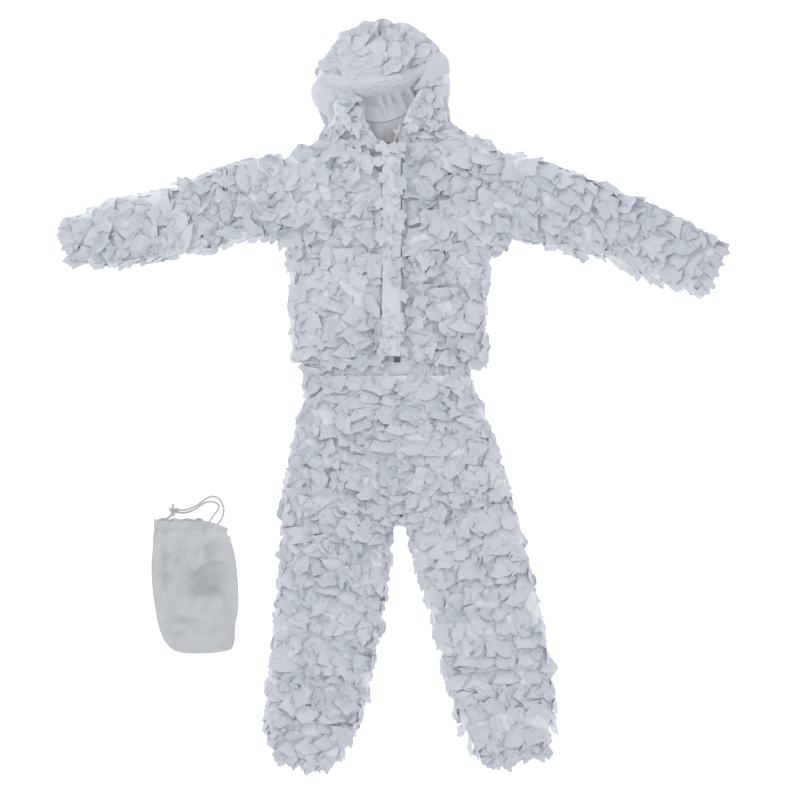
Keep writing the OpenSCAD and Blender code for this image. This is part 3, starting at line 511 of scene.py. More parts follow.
def frills(name, loft, s0, s1, seed, lift, slant, width=(40, 62), fence=None, window=None):
    """Ruffled strips of cloth across a tube, each sewn on along one edge, with the other edge cut into leaf shapes.
    They billow, so that pockets open under them. window gives how far a strip may go to either side."""
    rng = np.random.default_rng(seed)
    row, rows_u, rows_v = 40.0, 30, 8
    u, v = np.linspace(0, 1, rows_u), np.linspace(0, 1, rows_v)
    middle = []
    for s in np.arange(s0, s1, row):
        half = float(loft.at(np.array([s]))[2][0])
        low, high = window(s) if window else (-half - 20, half + 20)
        at = low + (0 if window else rng.uniform(-20, 40))
        while at < high - 30:
            long = min(rng.uniform(80, 190), high - at + 12)
            middle.append((s + rng.uniform(-0.3, 0.3) * row, at + long / 2, long, low, high))
            at += long * rng.uniform(0.78, 0.98)
    middle = np.array(middle)
    n = len(middle)
    cs, cl, long, low, high = (middle[:, k:k + 1] for k in range(5))
    angle = slant * rng.uniform(0.2, 1, (n, 1)) * rng.choice([-1, 1], (n, 1)) + rng.normal(0, 0.2, (n, 1))
    along = long * (u - 0.5)
    phase = rng.uniform(0, 2 * np.pi, (n, 1))
    turns = long / rng.uniform(42, 74, (n, 1))
    drift = 0.5 * np.sin(2 * np.pi * u * rng.uniform(0.8, 1.8, (n, 1)) + rng.uniform(0, 6, (n, 1)))
    wave = 2 * np.pi * turns * u + phase + 1.4 * drift
    s_root = np.clip(cs + along * np.sin(angle) + 7 * drift, s0, s1)
    half = loft.at(s_root.ravel())[2].reshape(n, rows_u)
    lateral = np.clip(cl + along * np.cos(angle), low, high)
    t = np.clip(lateral / half, -0.985, 0.985)
    root, ahead, across, normal = cloth_frame(loft, s_root, t)
    # the free edge: cut into leaf shapes, swinging from side to side as it ruffles
    cuts = np.pi * long / rng.uniform(26, 40, (n, 1)) * u + rng.uniform(0, 3, (n, 1))
    reach = rng.uniform(*width, (n, 1)) * (0.74 + 0.26 * np.abs(np.cos(cuts)) ** 0.7 + 0.1 * np.sin(2.7 * cuts))
    reach = reach * (0.35 + 0.65 * np.sin(np.pi * np.clip(u, 0.02, 0.98)) ** 0.35)
    swing = rng.normal(0, 0.18, (n, 1)) + rng.uniform(0.35, 0.85, (n, 1)) * np.sin(wave)
    out_u = np.sin(swing) * reach
    ahead_u = np.cos(swing) * reach * np.where(rng.uniform(size=(n, 1)) < 0.3, -1, 1)
    high = rng.uniform(*lift, (n, 1)) * (0.56 + 0.44 * np.cos(wave + rng.uniform(0.6, 2.2, (n, 1))))
    high = high * np.where(np.abs(t) > 0.88, 0.55, 1.0)
    flip = rng.uniform(-0.5, 0.5, (n, 1)) + 0.35 * np.sin(1.9 * wave + phase)
    vv = v[None, None]
    aside = out_u[..., None] * vv ** 1.2
    limit = (half + rng.uniform(2, 14, (n, 1)))[..., None]
    sewn_at = (t * half)[..., None]
    aside = np.clip(sewn_at + aside, -limit, limit) - sewn_at
    h = high[..., None] * (1 - (1 - vv) ** 1.8) + flip[..., None] * 9 * np.clip(vv - 0.55, 0, 1) ** 2 * 4
    pleat = 1.7 * zigzag(2.3 * wave + 1.7 * phase)[..., None] * vv * (1.2 - vv)
    points = (root[:, :, None] + aside[..., None] * across[:, :, None]
              + (ahead_u[..., None] * vv)[..., None] * ahead[:, :, None]
              + (h + pleat)[..., None] * normal[:, :, None])
    own_tone = rng.uniform(0, 1, n)
    points = hold_in(points.reshape(n, -1, 3), np.tile(v, rows_u), CEILING, fence)
    shift = (np.arange(n) * rows_u * rows_v)[:, None, None]
    faces = (grid_faces(rows_u, rows_v)[None] + shift).reshape(-1, 4)
    # each strip's own tone, plus a painted highlight that lightens it toward its free edge, and a slow wave along it
    tone_and_painted_light = own_tone[:, None, None] * 0.8 + 0.1 + 0.16 * (vv - 0.4) + 0.1 * np.sin(2.2 * u * 6)[None, :, None]
    tone_and_painted_light = np.broadcast_to(tone_and_painted_light, (n, rows_u, rows_v)).ravel()
    return make_mesh(name, points.reshape(-1, 3), [faces], LEAF, tone_and_painted_light)


def joined(name, *objects):
    """Several meshes of leaf flaps as one piece."""
    def read(data, key, count, kind):
        values = np.empty(count, kind)
        data.foreach_get(key, values)
        return values

    points, tones, faces, count = [], [], {3: [], 4: []}, 0
    for obj in objects:
        mesh = obj.data
        points.append(read(mesh.vertices, "co", len(mesh.vertices) * 3, np.float32).reshape(-1, 3) / MM)
        tones.append(read(mesh.attributes["tone_and_painted_light"].data, "value", len(mesh.vertices), np.float32))
        corners = read(mesh.loops, "vertex_index", len(mesh.loops), np.int32)
        totals = read(mesh.polygons, "loop_total", len(mesh.polygons), np.int32)
        starts = read(mesh.polygons, "loop_start", len(mesh.polygons), np.int32)
        for size, group in faces.items():
            group.append(corners[starts[totals == size][:, None] + np.arange(size)] + count)
        count += len(mesh.vertices)
        bpy.data.objects.remove(obj)
        bpy.data.meshes.remove(mesh)
    groups = [np.concatenate(group) for group in faces.values()]
    return make_mesh(name, np.concatenate(points), groups, LEAF, np.concatenate(tones))


def scattered_flaps(name, root, aim, seed, size=1.0, lift=(6, 24), wander=0.5, normal=None, ceiling=None, calm=1.0,
                    fence=None):
    """Flaps at given points, each pointing about the given way."""
    rng = np.random.default_rng(seed)
    n = len(root)
    normal = np.tile([0.0, 0.0, 1.0], (n, 1)) if normal is None else normal
    aim = unit(aim)
    side = np.cross(normal, aim)
    tip = laid_on(normal, aim + side * np.tan(np.clip(rng.normal(0, wander, n), -1.2, 1.2))[:, None])
    return leaves(name, root, tip, normal, rng.uniform(38, 64, n) * size, rng.uniform(32, 54, n) * size,
                  rng.uniform(*lift, n), rng.uniform(4, 10, n) * calm, seed + 1, ceiling=ceiling, fence=fence)


def side_flaps(name, loft, s0, s1, seed, sides):
    """Flaps that hang down over the edges of a tube that lies flat."""
    rng = np.random.default_rng(seed)
    s = np.arange(s0 + 4, s1, 27.0)
    roots, aims, outs = [], [], []
    for sign in sides:
        at = np.clip(s + rng.uniform(-7, 7, len(s)), s0, s1)
        root = loft.place(at, np.full(len(s), sign * 0.96))
        root[:, 2] = loft.at(at)[3] + rng.uniform(0, 12, len(s))
        ahead = unit(loft.at(at + 3.0)[0] - loft.at(at - 3.0)[0])
        left = loft.at(at)[1] * sign
        roots.append(root)
        outs.append(np.concatenate([left, np.full((len(s), 1), 0.45)], 1))
        aims.append(np.concatenate([ahead * rng.uniform(0.5, 1.0, (len(s), 1)),
                                    -rng.uniform(0.3, 0.7, (len(s), 1))], 1))
    return scattered_flaps(name, np.concatenate(roots), np.concatenate(aims), seed + 1, size=1.05, lift=(1, 6),
                           wander=0.3, normal=unit(np.concatenate(outs)), ceiling=80.0, calm=0.35)


def leaf_layer(name, loft, s0, s1, seed, frill, flap, sides=(-1, 1)):
    """The whole layer on the upper side: ruffled strips, loose flaps over them and flaps over the edges."""
    strips = frills(name + "_strips", loft, s0, s1, seed + 3, **frill)
    loose = front_flaps(name + "_loose", loft, s0, s1, seed, **flap)
    edges = side_flaps(name + "_edges", loft, s0, s1, seed + 6, sides)
    return joined(name, strips, loose, edges)


# ---------------------------------------------------------------- lofts of the garment
def limb_loft(start, bend, end, halves, reach_back, narrow):
    """A sleeve or a leg from its first joint over its second to the end of its elastic, and both halves' lengths."""
    start, bend, end = (np.asarray(p, float)[:2] for p in (start, bend, end))
    edges = node_edges(*halves)
    u1, u2 = unit(bend - start), unit(end - bend)
    first, second = np.linalg.norm(bend - start), np.linalg.norm(end - bend)
    centre, left, half = [], [], []
    for origin, u, d in ([(start, u1, d) for d in np.linspace(-reach_back, first - 40, 10)]
                         + [(bend, u2, d) for d in np.linspace(30, second + 9, 10)]):
        lo, hi = section(edges, origin, u, np.clip(d, 0.5, None if origin is start else second - 14))
        side = np.array([-u[1], u[0]])
        centre.append(origin + u * d + side * (lo + hi) / 2)
        left.append(side)
        shrink = 1 - narrow * smoothstep(second - 26, second - 4, d) if origin is bend else 1
        half.append(((hi - lo) / 2 + 2.0) * shrink)
    return Loft(centre, left, half, 34, 21), first, second


SIDES = ("left", "right")
REACH = {"sleeve": 70, "leg": 90}
LIMB_PARTS = {"sleeve": ("shoulder", "elbow", "cuff", ("upper_sleeve", "lower_sleeve"), 0.12),
              "leg": ("hip", "knee", "ankle", ("thigh", "shin"), 0.1)}
lofts = {}
for part, (joint_1, joint_2, tip, halves, narrow) in LIMB_PARTS.items():
    for side in SIDES:
        lofts[part, side] = limb_loft(joint_mm(f"{joint_1}_{side}"), joint_mm(f"{joint_2}_{side}"),
                                      sum(box_mm(f"{tip}_elastic_{side}")) / 2,
                                      [f"{half}_{side}_leaf_cover" for half in halves], REACH[part], narrow)


def body_loft(rows, spans, mid, rise, bulge=None):
    """The loft of jacket or trousers from rows of y and the span of x at each."""
    lo, hi = np.array(spans).T
    return Loft(np.stack([(lo + hi) / 2, rows], -1), [(1, 0)] * len(rows), (hi - lo) / 2 + 3, mid, rise, bulge=bulge)


# the jacket's body, from the neck down to the hem
DOWN = np.array([0.0, -1.0])
torso_edges = node_edges("jacket_back_leaf_cover")
neck_y = box_mm("jacket_back_leaf_cover")[1][1]
hem_y = box_mm("jacket_hem_elastic")[0][1]
torso_rows = np.concatenate([np.linspace(neck_y - 1, 640, 7), np.linspace(600, 440, 6),
                             np.linspace(410, hem_y + 20, 12), [hem_y]])
# where the sleeves join, the body goes from shoulder to shoulder
at_sleeves = [joint_mm("shoulder_left")[0] + 28, joint_mm("shoulder_right")[0] - 28]
zip_middle = (box_mm("placket_flap")[0][0] + box_mm("placket_seam")[1][0]) / 2
torso_spans = [at_sleeves if 440 <= y <= 600 else section(torso_edges, (0, 0), DOWN, -max(y, hem_y + 19))
               for y in torso_rows]
torso = body_loft(torso_rows, torso_spans, 31, 10.8,
                  bulge=lambda x, y: 12 * smoothstep(34, 80, np.abs(x - zip_middle)))
torso_len = torso.s[-1]

# the seat of the trousers, from under the waistband down to the crotch
waist_low, waist_high = box_mm("waistband_elastic")
seat_edges = node_edges("trousers_back_leaf_cover")
SEAT_END, CROTCH_Y = -145, -345
full_y = joint_mm("hip_left")[1] + REACH["leg"]
seat_rows = np.concatenate([np.linspace(waist_low[1] + 2, SEAT_END, 9), [-175, full_y - 5],
                            np.linspace(-235, CROTCH_Y, 5)])
wide_left, wide_right = (lofts["leg", side][0].at(np.array([2.0])) for side in SIDES)
edge_left = wide_left[0][0, 0] - wide_left[2][0]
edge_right = wide_right[0][0, 0] + wide_right[2][0]
seat_spans = []
for y in seat_rows:
    lo, hi = section(seat_edges, (0, 0), DOWN, -min(max(y, SEAT_END), waist_low[1] - 3))
    if y < SEAT_END:
        toward = smoothstep(SEAT_END, full_y, y)
        lo, hi = lo + (edge_left - lo) * toward, hi + (edge_right - hi) * toward
        narrow = smoothstep(full_y, CROTCH_Y, y)
        lo, hi = lo + 120 * narrow, hi - 120 * narrow
    seat_spans.append((lo, hi))
seat = body_loft(seat_rows, seat_spans, 34, 19)
seat_len = seat.s[-1]


# ---------------------------------------------------------------- placing pieces on bodies
def along_mm(loft, s):
    x, y = loft.at(float(s))[0]
    return (x * MM, y * MM, 0.03)


def bend(obj, loft, a, b, s_from, s_to):
    """Bakes the piece's place into its mesh; it does not bend. Bodies a and b and the distances s_from and s_to are not
    used.
    """
    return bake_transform(obj, a, b, along_mm(loft, s_from), along_mm(loft, s_to))


def finished(obj, slot, *nodes, body=None):
    """Hides the CAD nodes that the piece stands for and hangs the piece on the body that it rides on. slot is not used.
    """
    if nodes:
        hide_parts(*nodes)
    if body:
        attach(obj, body)
    return obj


def split_faces(name, points, faces, material, keep):
    """A mesh of only those faces whose middle passes keep, without the points that they don't use."""
    faces = faces[keep(points[faces].mean(1))]
    used, index = np.unique(faces, return_inverse=True)
    return make_mesh(name, points[used], [index.reshape(faces.shape)], material)


def gathered_ring(name, loft, s0, s1, pleats, depth, seed, swell=3.0, rows=9, columns=None, gap=None):
    """Elastic casing round a tube's end, drawn up into fine pleats. A gap in x, on top, leaves room for a zip."""
    columns = columns or pleats * 6
    t, up = loft.ring(columns)
    centre, left, half, mid, rise = loft.at(np.linspace(s0, s1, rows))
    v = np.linspace(0, 1, rows)[:, None]
    rng = np.random.default_rng(seed)
    # pleats are even in distance round the band, with some drift
    around = np.cumsum(np.hypot(np.diff(t, append=t[:1]) * half.mean(), np.diff(up, append=up[:1]) * rise.mean()))
    phase = 2 * np.pi * pleats * around / around[-1] + 1.5 * np.sin(np.linspace(0, 14 * np.pi, columns))
    size = 0.6 + 0.4 * np.interp(around / around[-1], np.linspace(0, 1, 40), rng.uniform(0, 1, 40))
    out = depth * size * np.cos(phase + 0.8 * np.sin(5 * v)) + swell * np.sin(np.pi * v) ** 0.6
    xy = centre[:, None] + left[:, None] * ((half[:, None] + out) * t)[..., None]
    z = mid[:, None] + (rise[:, None] + out) * up
    points = np.concatenate([xy, z[..., None]], -1).reshape(-1, 3)
    faces = grid_faces(rows, columns, closed=True)
    if gap is None:
        return make_mesh(name, points, [faces], ELASTIC)
    return split_faces(name, points, faces, ELASTIC,
                       lambda m: (m[:, 2] < mid.mean()) | (m[:, 0] < gap[0]) | (m[:, 0] > gap[1]))


def run_along(path):
    """Distance along a path of points, at each point."""
    return np.concatenate([[0], np.cumsum(np.linalg.norm(np.diff(path, axis=0), axis=1))])


def tube(path, radius, sides, ridges, upright=(0, 0, 1.0)):
    """Points and faces of a closed tube. ridges is the share that each side's angle adds to the radius."""
    ahead = unit(np.gradient(path, axis=0))
    across = unit(np.cross(ahead, upright))
    upward = np.cross(across, ahead)
    a = np.linspace(0, 2 * np.pi, sides, endpoint=False)[None]
    r = np.broadcast_to(np.asarray(radius, float).reshape(-1, 1), (len(path), 1)) * (1 + ridges(a))
    points = path[:, None] + r[..., None] * (np.cos(a)[..., None] * across[:, None]
                                             + np.sin(a)[..., None] * upward[:, None])
    k = np.arange(sides)
    nxt, end, top = (k + 1) % sides, len(path) * sides, (len(path) - 1) * sides
    faces = [grid_faces(len(path), sides, closed=True), np.stack([np.full(sides, end), nxt, k], -1),
             np.stack([np.full(sides, end + 1), top + k, top + nxt], -1)]
    return np.concatenate([points.reshape(-1, 3), path[:1], path[-1:]]), faces


def ribbon_tube(name, path, radius, material, sides=10, twist=0.0, strands=0, bump=0.0):
    """A tube along a path of points; strands and twist give it the ridges of a laid or braided cord."""
    run = run_along(path)[:, None]
    points, faces = tube(path, radius, sides, lambda a: bump * np.cos(strands * a - twist * run))
    return make_mesh(name, points, faces, material)


def smooth_path(points, step):
    """Points a step apart on a smooth curve through the given ones."""
    points = np.asarray(points, float)
    knots = run_along(points)
    slope = np.gradient(points, knots, axis=0)
    at = np.linspace(0, knots[-1], max(4, int(knots[-1] / step)))
    k = np.clip(np.searchsorted(knots, at, side="right") - 1, 0, len(knots) - 2)
    h = (knots[k + 1] - knots[k])[:, None]
    u = ((at - knots[k])[:, None]) / h
    return ((2 * u ** 3 - 3 * u ** 2 + 1) * points[k] + (u ** 3 - 2 * u ** 2 + u) * h * slope[k]
            + (3 * u ** 2 - 2 * u ** 3) * points[k + 1] + (u ** 3 - u ** 2) * h * slope[k + 1])


def stitches(name, path, material, length=3.2, gap=2.2, thick=0.5):
    """A row of lockstitches along a path, each a short raised thread."""
    fine = smooth_path(path, 0.5) if len(path) > 2 else np.linspace(path[0], path[1], 400)
    run = run_along(fine)
    starts = np.arange(1, run[-1] - length, length + gap)
    u = np.linspace(0, 1, 5)
    at = starts[:, None] + length * u
    middle = np.stack([np.interp(at, run, fine[:, k]) for k in range(3)], -1)
    ahead = unit(middle[:, -1] - middle[:, 0])[:, None]
    across = unit(np.cross(ahead, [0, 0, 1.0]))
    r = (thick * np.sqrt(np.clip(1 - (2 * u - 1) ** 4, 0.04, 1)))[None, :, None]
    rim = [middle + across * r * c + np.array([0, 0, 1.0]) * r * d
           for c, d in ((1, -0.3), (0.6, 0.7), (-0.6, 0.7), (-1, -0.3))]
    points = np.stack(rim, 2).reshape(-1, 3)
    quads = grid_faces(5, 4, closed=True)
    shift = (np.arange(len(starts)) * 20)[:, None, None]
    return make_mesh(name, points, [(quads[None] + shift).reshape(-1, 4)], material)


# ---------------------------------------------------------------- drawcords of the bag
INNER_ROUTE = [(-522, -345, 18.4), (-516, -345, 18), (-507, -337, 14), (-500, -327, 8), (-494, -318, 3.5),
               (-487, -309, 2.5), (-481, -300, 2.5), (-482, -290, 2.5), (-491, -283, 2.5), (-503, -281, 2.5),
               (-516, -284, 2.5), (-529, -291, 2.5), (-542, -300, 2.5), (-556, -307, 2.5), (-572, -311, 3),
               (-585, -311, 5), (-596, -309, 7)]
OUTER_ROUTE = [(-494, -345, 3.6), (-488, -345, 3.5), (-480, -338, 3), (-473, -328, 2.5), (-469, -317, 2.5),
               (-467, -305, 2.5), (-469, -293, 2.5), (-474, -281, 2.5), (-482, -272, 2.5), (-493, -267, 2.5),
               (-505, -268, 2.5), (-516, -274, 2.5), (-527, -282, 2.5), (-540, -291, 2.5), (-554, -298, 2.5),
               (-570, -303, 3), (-584, -304, 5), (-596, -303, 7)]
CORD_D = 5.0
KNOT = np.array([-603.0, -306.0, 9.0])


def braided(name, route):
    path = smooth_path(route, 1.2)
    cord = ribbon_tube(name, path, CORD_D / 2 * 1.12, CORD, sides=16, twist=0.75, strands=4, bump=0.07)
    return cord, path


def knot_mesh():
    """The two ends wound round each other, and a short frayed tail from each."""
    u = np.linspace(0, 2 * np.pi, 140, endpoint=True)
    turn = np.stack([KNOT[0] + 7.6 * np.sin(u) + 3.4 * np.sin(2 * u), KNOT[1] + 7.6 * np.cos(u) - 3.4 * np.cos(2 * u),
                     KNOT[2] + 1 + 4.4 * np.sin(3 * u)], -1)
    tails = []
    for angle, reach in ((228, 32), (93, 18)):
        way = np.array([math.cos(math.radians(angle)), math.sin(math.radians(angle)), 0])
        d = np.linspace(0, reach, 24)[:, None]
        drop = KNOT[2] + (3.0 - KNOT[2]) * smoothstep(0, 10, d)
        bow = np.array([-way[1], way[0], 0]) * 2.0 * np.sin(d / reach * np.pi)
        tails.append(np.concatenate([(KNOT + way * d + bow)[:, :2], drop], 1))
    points, faces, count = [], [], 0
    for path in (turn, *tails):
        n = len(path)
        radius = 3.9 if path is turn else 3.1 + 1.0 * smoothstep(0.7, 1.0, np.linspace(0, 1, n))
        ridges = lambda a: 0.07 * np.cos(4 * a - 0.6 * np.arange(n)[:, None])
        part, part_faces = tube(path, radius, 12, ridges, (0.05, 0.02, 1.0))
        points.append(part)
        faces += [f + count for f in part_faces]
        count += len(part)
    points = np.concatenate(points)
    points[:, 2] = np.maximum(points[:, 2], 0.5)
    return make_mesh("bag_cord_knot_wound", points, faces, CORD)


cords = [(way, route, *braided(f"bag_drawcord_{way}_braid", route))
         for way, route in (("inner", INNER_ROUTE), ("outer", OUTER_ROUTE))]
knot = knot_mesh()
for way, route, cord, path in cords:
    finished(cord, "cord", f"bag_drawcord_{way}", body="bag")
finished(knot, "cord", "bag_cord_knot", body="bag")
for way, route, cord, path in cords:
    float(run_along(path)[-1] * MM)


# ---------------------------------------------------------------- sleeves and legs
LIMB_LEAVES = {"sleeve": (dict(lift=(5, 18), slant=0.6, width=(44, 70)), 22, 8),
               "leg": (dict(lift=(6, 22), slant=0.45), 34, 10)}
LIMB_BODIES = {"sleeve": ("jacket", "upper_sleeve", "lower_sleeve", 60), "leg": ("trousers", "thigh", "shin", 55)}
for part, (trunk, upper_name, lower_name, soft) in LIMB_BODIES.items():
    frill, pleats, fringe = LIMB_LEAVES[part]
    tip = LIMB_PARTS[part][2]
    for number, side in enumerate(SIDES):
        loft, first, second = lofts[part, side]
        back, total = REACH[part], loft.s[-1]
        upper, lower = f"{upper_name}_{side}", f"{lower_name}_{side}"
        middle, bend_at = back + first * 0.5, back + first
        seed = 100 * (1 + number) + (50 if part == "leg" else 0)
        flap = dict(row=56.0, gap=46.0, lift=(6, 20), over=(4, 18), size=1.1)
        for half, bodies, s0, s1, flaps_end, under_end, bend_from, bend_to in (
                (upper, (trunk, upper), 6, middle + 6, middle, middle, back - 50, back + 90),
                (lower, (upper, lower), middle, total, total - 44, total - 55, bend_at - soft, bend_at + soft)):
            more = 10 * (half == lower)
            shell = finished(loft.shell(f"{half}_tube", s0, s1, BASE_PAINTED_BRIGHT, seed + 3), "base_cloth", f"{half}_cloth")
            front = finished(leaf_layer(f"{half}_front_flaps", loft, s0, flaps_end, seed + more, frill, flap),
                             "leaf_cloth", f"{half}_leaf_cover")
            under = finished(back_flaps(f"{half}_back_flaps", loft, s0, under_end, seed + 5 + more), "leaf_cloth")
            for obj in (shell, front, under):
                bend(obj, loft, *bodies, bend_from, bend_to)
        finished(gathered_ring(f"{tip}_{side}_gathers", loft, total - 20, total, pleats, 1.3, seed + 7),
                 "elastic", f"{tip}_elastic_{side}", body=lower)
        # the flaps that hang over the elastic
        rng = np.random.default_rng(seed + 8)
        across = np.linspace(-0.92, 0.92, fringe) + rng.uniform(-0.08, 0.08, fringe)
        root = loft.place(total - rng.uniform(24, 38, fringe), np.clip(across, -0.95, 0.95))
        root[:, 2] += 6
        ahead = unit(loft.at(np.full(fringe, total - 3.0))[0] - loft.at(np.full(fringe, total - 20.0))[0])
        finished(scattered_flaps(f"{tip}_{side}_fringe", root, np.column_stack([ahead, np.full(fringe, -0.3)]),
                                 seed + 9, size=0.85, lift=(3, 8), wander=0.35, ceiling=70.0, calm=0.7),
                 "leaf_cloth", body=lower)

# ---------------------------------------------------------------- jacket body
zip_left, zip_right = box_mm("placket_flap")[0][0] + 1.0, box_mm("placket_seam")[1][0] - 1.0
zip_low, zip_high = box_mm("placket_flap")[0][1] - 24, box_mm("placket_flap")[1][1] + 6
zip_x = (zip_left + zip_right) / 2
# the open neck is a trapezium: its bottom, its height, and its two sides there and how far they spread upward
NECK_Y, NECK_TALL = 686, 51
NECK_LEFT, NECK_RIGHT, SPREAD_LEFT, SPREAD_RIGHT = -43, -1, 29, 15


def in_neck(xy, grow=0.0):
    """True inside the open neck."""
    v = (xy[..., 1] - NECK_Y) / NECK_TALL
    left = NECK_LEFT - SPREAD_LEFT * v - grow
    right = NECK_RIGHT + SPREAD_RIGHT * v + grow
    return (v > -grow / NECK_TALL) & (xy[..., 0] > left) & (xy[..., 0] < right)


def zip_fence(points):
    """Keeps the flaps off the zip and out of the open neck, folded back along the edges."""
    x, y = points[..., 0], points[..., 1]
    inside = (x > zip_left) & (x < zip_right) & (y > zip_low) & (y < zip_high)
    to_left = points[:, :1, 0] < zip_x
    edge = np.where(to_left, zip_left - 0.15 * (x - zip_left), zip_right + 0.15 * (zip_right - x))
    points[..., 0] = np.where(inside, edge, x)
    # beside the placket the flaps stand up to its height
    gap = np.maximum(np.maximum(zip_left - x, x - zip_right), 0)
    near = np.exp(-(gap / 16) ** 2) * ((y > zip_low - 8) & (y < zip_high - 10))
    points[..., 2] += near * np.clip(66 - points[..., 2], 0, 30) * 0.75
    points[..., 2] -= (1 - smoothstep(0, 9, gap)) * (near > 0) * np.clip(points[..., 2] - 66.5, 0, None)
    v = np.clip((points[..., 1] - NECK_Y) / NECK_TALL, 0, 1.4)
    edge = np.where(to_left, NECK_LEFT - SPREAD_LEFT * v, NECK_RIGHT + SPREAD_RIGHT * v)
    points[..., 0] = np.where(in_neck(points[..., :2]), edge, points[..., 0])
    return points


def off_the_zip(left_side):
    """A test for flaps on one side of the zip, off the placket and out of the neck."""
    def test(root):
        x, y = root[:, 0], root[:, 1]
        on_side = x < zip_x if left_side else x > zip_x
        return on_side & ((x < zip_left - 2) | (x > zip_right + 2) | (y < zip_low - 6)) & ~in_neck(root[:, :2], 2)
    return test


def body_skin(loft, end, columns, seed, calm_x=None):
    return loft.skin(np.linspace(0, end, int(end / 10)), columns, seed, 3.0, calm_x)


BACK_TOP = 31  # the panels of the back end at this height
points, faces = body_skin(torso, torso_len - 16, 160, 11, zip_x)
for name, material, keep, nodes in (
        ("front_left_panel", BASE_PAINTED_BRIGHT, lambda m: (m[:, 2] > BACK_TOP) & (m[:, 0] < zip_x) & ~in_neck(m[:, :2]),
         ["jacket_front_left_cloth"]),
        ("front_right_panel", BASE_PAINTED_BRIGHT, lambda m: (m[:, 2] > BACK_TOP) & (m[:, 0] >= zip_x) & ~in_neck(m[:, :2]),
         ["jacket_front_right_cloth"]),
        ("back_panel", SMOOTH, lambda m: m[:, 2] <= BACK_TOP, ["jacket_back_cloth", "jacket_seams"])):
    finished(split_faces(f"jacket_{name}", points, faces, material, keep), "base_cloth", *nodes, body="jacket")


def beside_zip(left_side):
    """How far across the front a strip may go, on its own side of the zip and the neck, at a distance down."""
    def window(s):
        (x, y), half = torso.at(float(s))[0], torso.at(float(s))[2]
        v = max((y - NECK_Y) / NECK_TALL, 0)
        if left_side:
            return -half - 20, min(zip_left - 3, NECK_LEFT - 3 - SPREAD_LEFT * v) - x
        return max(zip_right + 3, NECK_RIGHT + 3 + SPREAD_RIGHT * v) - x, half + 20
    return window


for number, (side, is_left) in enumerate((("left", True), ("right", False))):
    layer = leaf_layer(f"jacket_front_{side}_flaps", torso, 2, torso_len - 14, 12 + 40 * number,
                       dict(lift=(6, 20), slant=0.5, width=(44, 70), window=beside_zip(is_left), fence=zip_fence),
                       dict(row=56.0, gap=48.0, lift=(6, 20), size=1.15, keep=off_the_zip(is_left), fence=zip_fence),
                       sides=(-1,) if is_left else (1,))
    finished(layer, "leaf_cloth", f"jacket_front_{side}_leaf_cover", body="jacket")
finished(back_flaps("jacket_back_flaps", torso, 2, torso_len - 60, 14), "leaf_cloth", "jacket_back_leaf_cover",
         body="jacket")
hem = Loft(torso.centre[-3:], torso.left[-3:], torso.half[-3:] + 2, 32, 14)
finished(gathered_ring("jacket_hem_gathers", hem, hem.s[-1] - 20, hem.s[-1], 90, 1.4, 15,
                       columns=900, gap=(zip_left, zip_right)), "elastic",
         "jacket_hem_elastic", body="jacket")

# ---------------------------------------------------------------- seat and waistband
points, faces = body_skin(seat, seat_len, 120, 21)
finished(make_mesh("trousers_seat_cloth", points, [faces], BASE_PAINTED_BRIGHT), "base_cloth", "trousers_back_cloth",
         "trousers_front_cloth", "trousers_side_seams", body="trousers")
finished(leaf_layer("trousers_front_flaps", seat, 0, seat_len - 36, 22, dict(lift=(6, 22), slant=0.45),
                    dict(row=54.0, gap=46.0, lift=(6, 20), size=1.1)), "leaf_cloth", "trousers_front_leaf_cover",
         body="trousers")
finished(back_flaps("trousers_back_flaps", seat, 8, seat_len - 60, 24), "leaf_cloth", "trousers_back_leaf_cover",
         body="trousers")
waist_mid = (waist_low + waist_high) / 2
waist = Loft([(waist_mid[0], waist_high[1]), (waist_mid[0], waist_low[1] - 12)], [(1, 0)] * 2,
             [(waist_high[0] - waist_low[0]) / 2 - 1] * 2, 30, 15)
finished(gathered_ring("waistband_gathers", waist, 0, waist.s[-1], 84, 1.8, 25, swell=2.5, rows=13),
         "elastic", "waistband_elastic", body="trousers")

rng = np.random.default_rng(26)
on_band = [(x + rng.uniform(-9, 9), y + rng.uniform(-5, 5), 45.0)
           for y, xs in ((90, np.arange(-240, 200, 38)), (70, np.arange(-222, 200, 36))) for x in xs
           if y < 80 or not -70 < x < 30]
finished(scattered_flaps("waistband_flaps", np.array(on_band), np.tile([0.0, -1.0, 0.0], (len(on_band), 1)), 27,
                         lift=(4, 13), wander=0.5, ceiling=78.0), "leaf_cloth", body="trousers")

# ---------------------------------------------------------------- hood
HOOD_AT, HOOD_R = np.array([-39.0, 830.0]), 178.0
BRIM_AT, BRIM_R = np.array([-92.0, 1115.0]), 300.0
brim_y = lambda x: BRIM_AT[1] - np.sqrt(np.clip(BRIM_R ** 2 - (x - BRIM_AT[0]) ** 2, 0, None))
top_y = lambda x: HOOD_AT[1] + np.sqrt(np.clip(HOOD_R ** 2 - (x - HOOD_AT[0]) ** 2, 0, None))

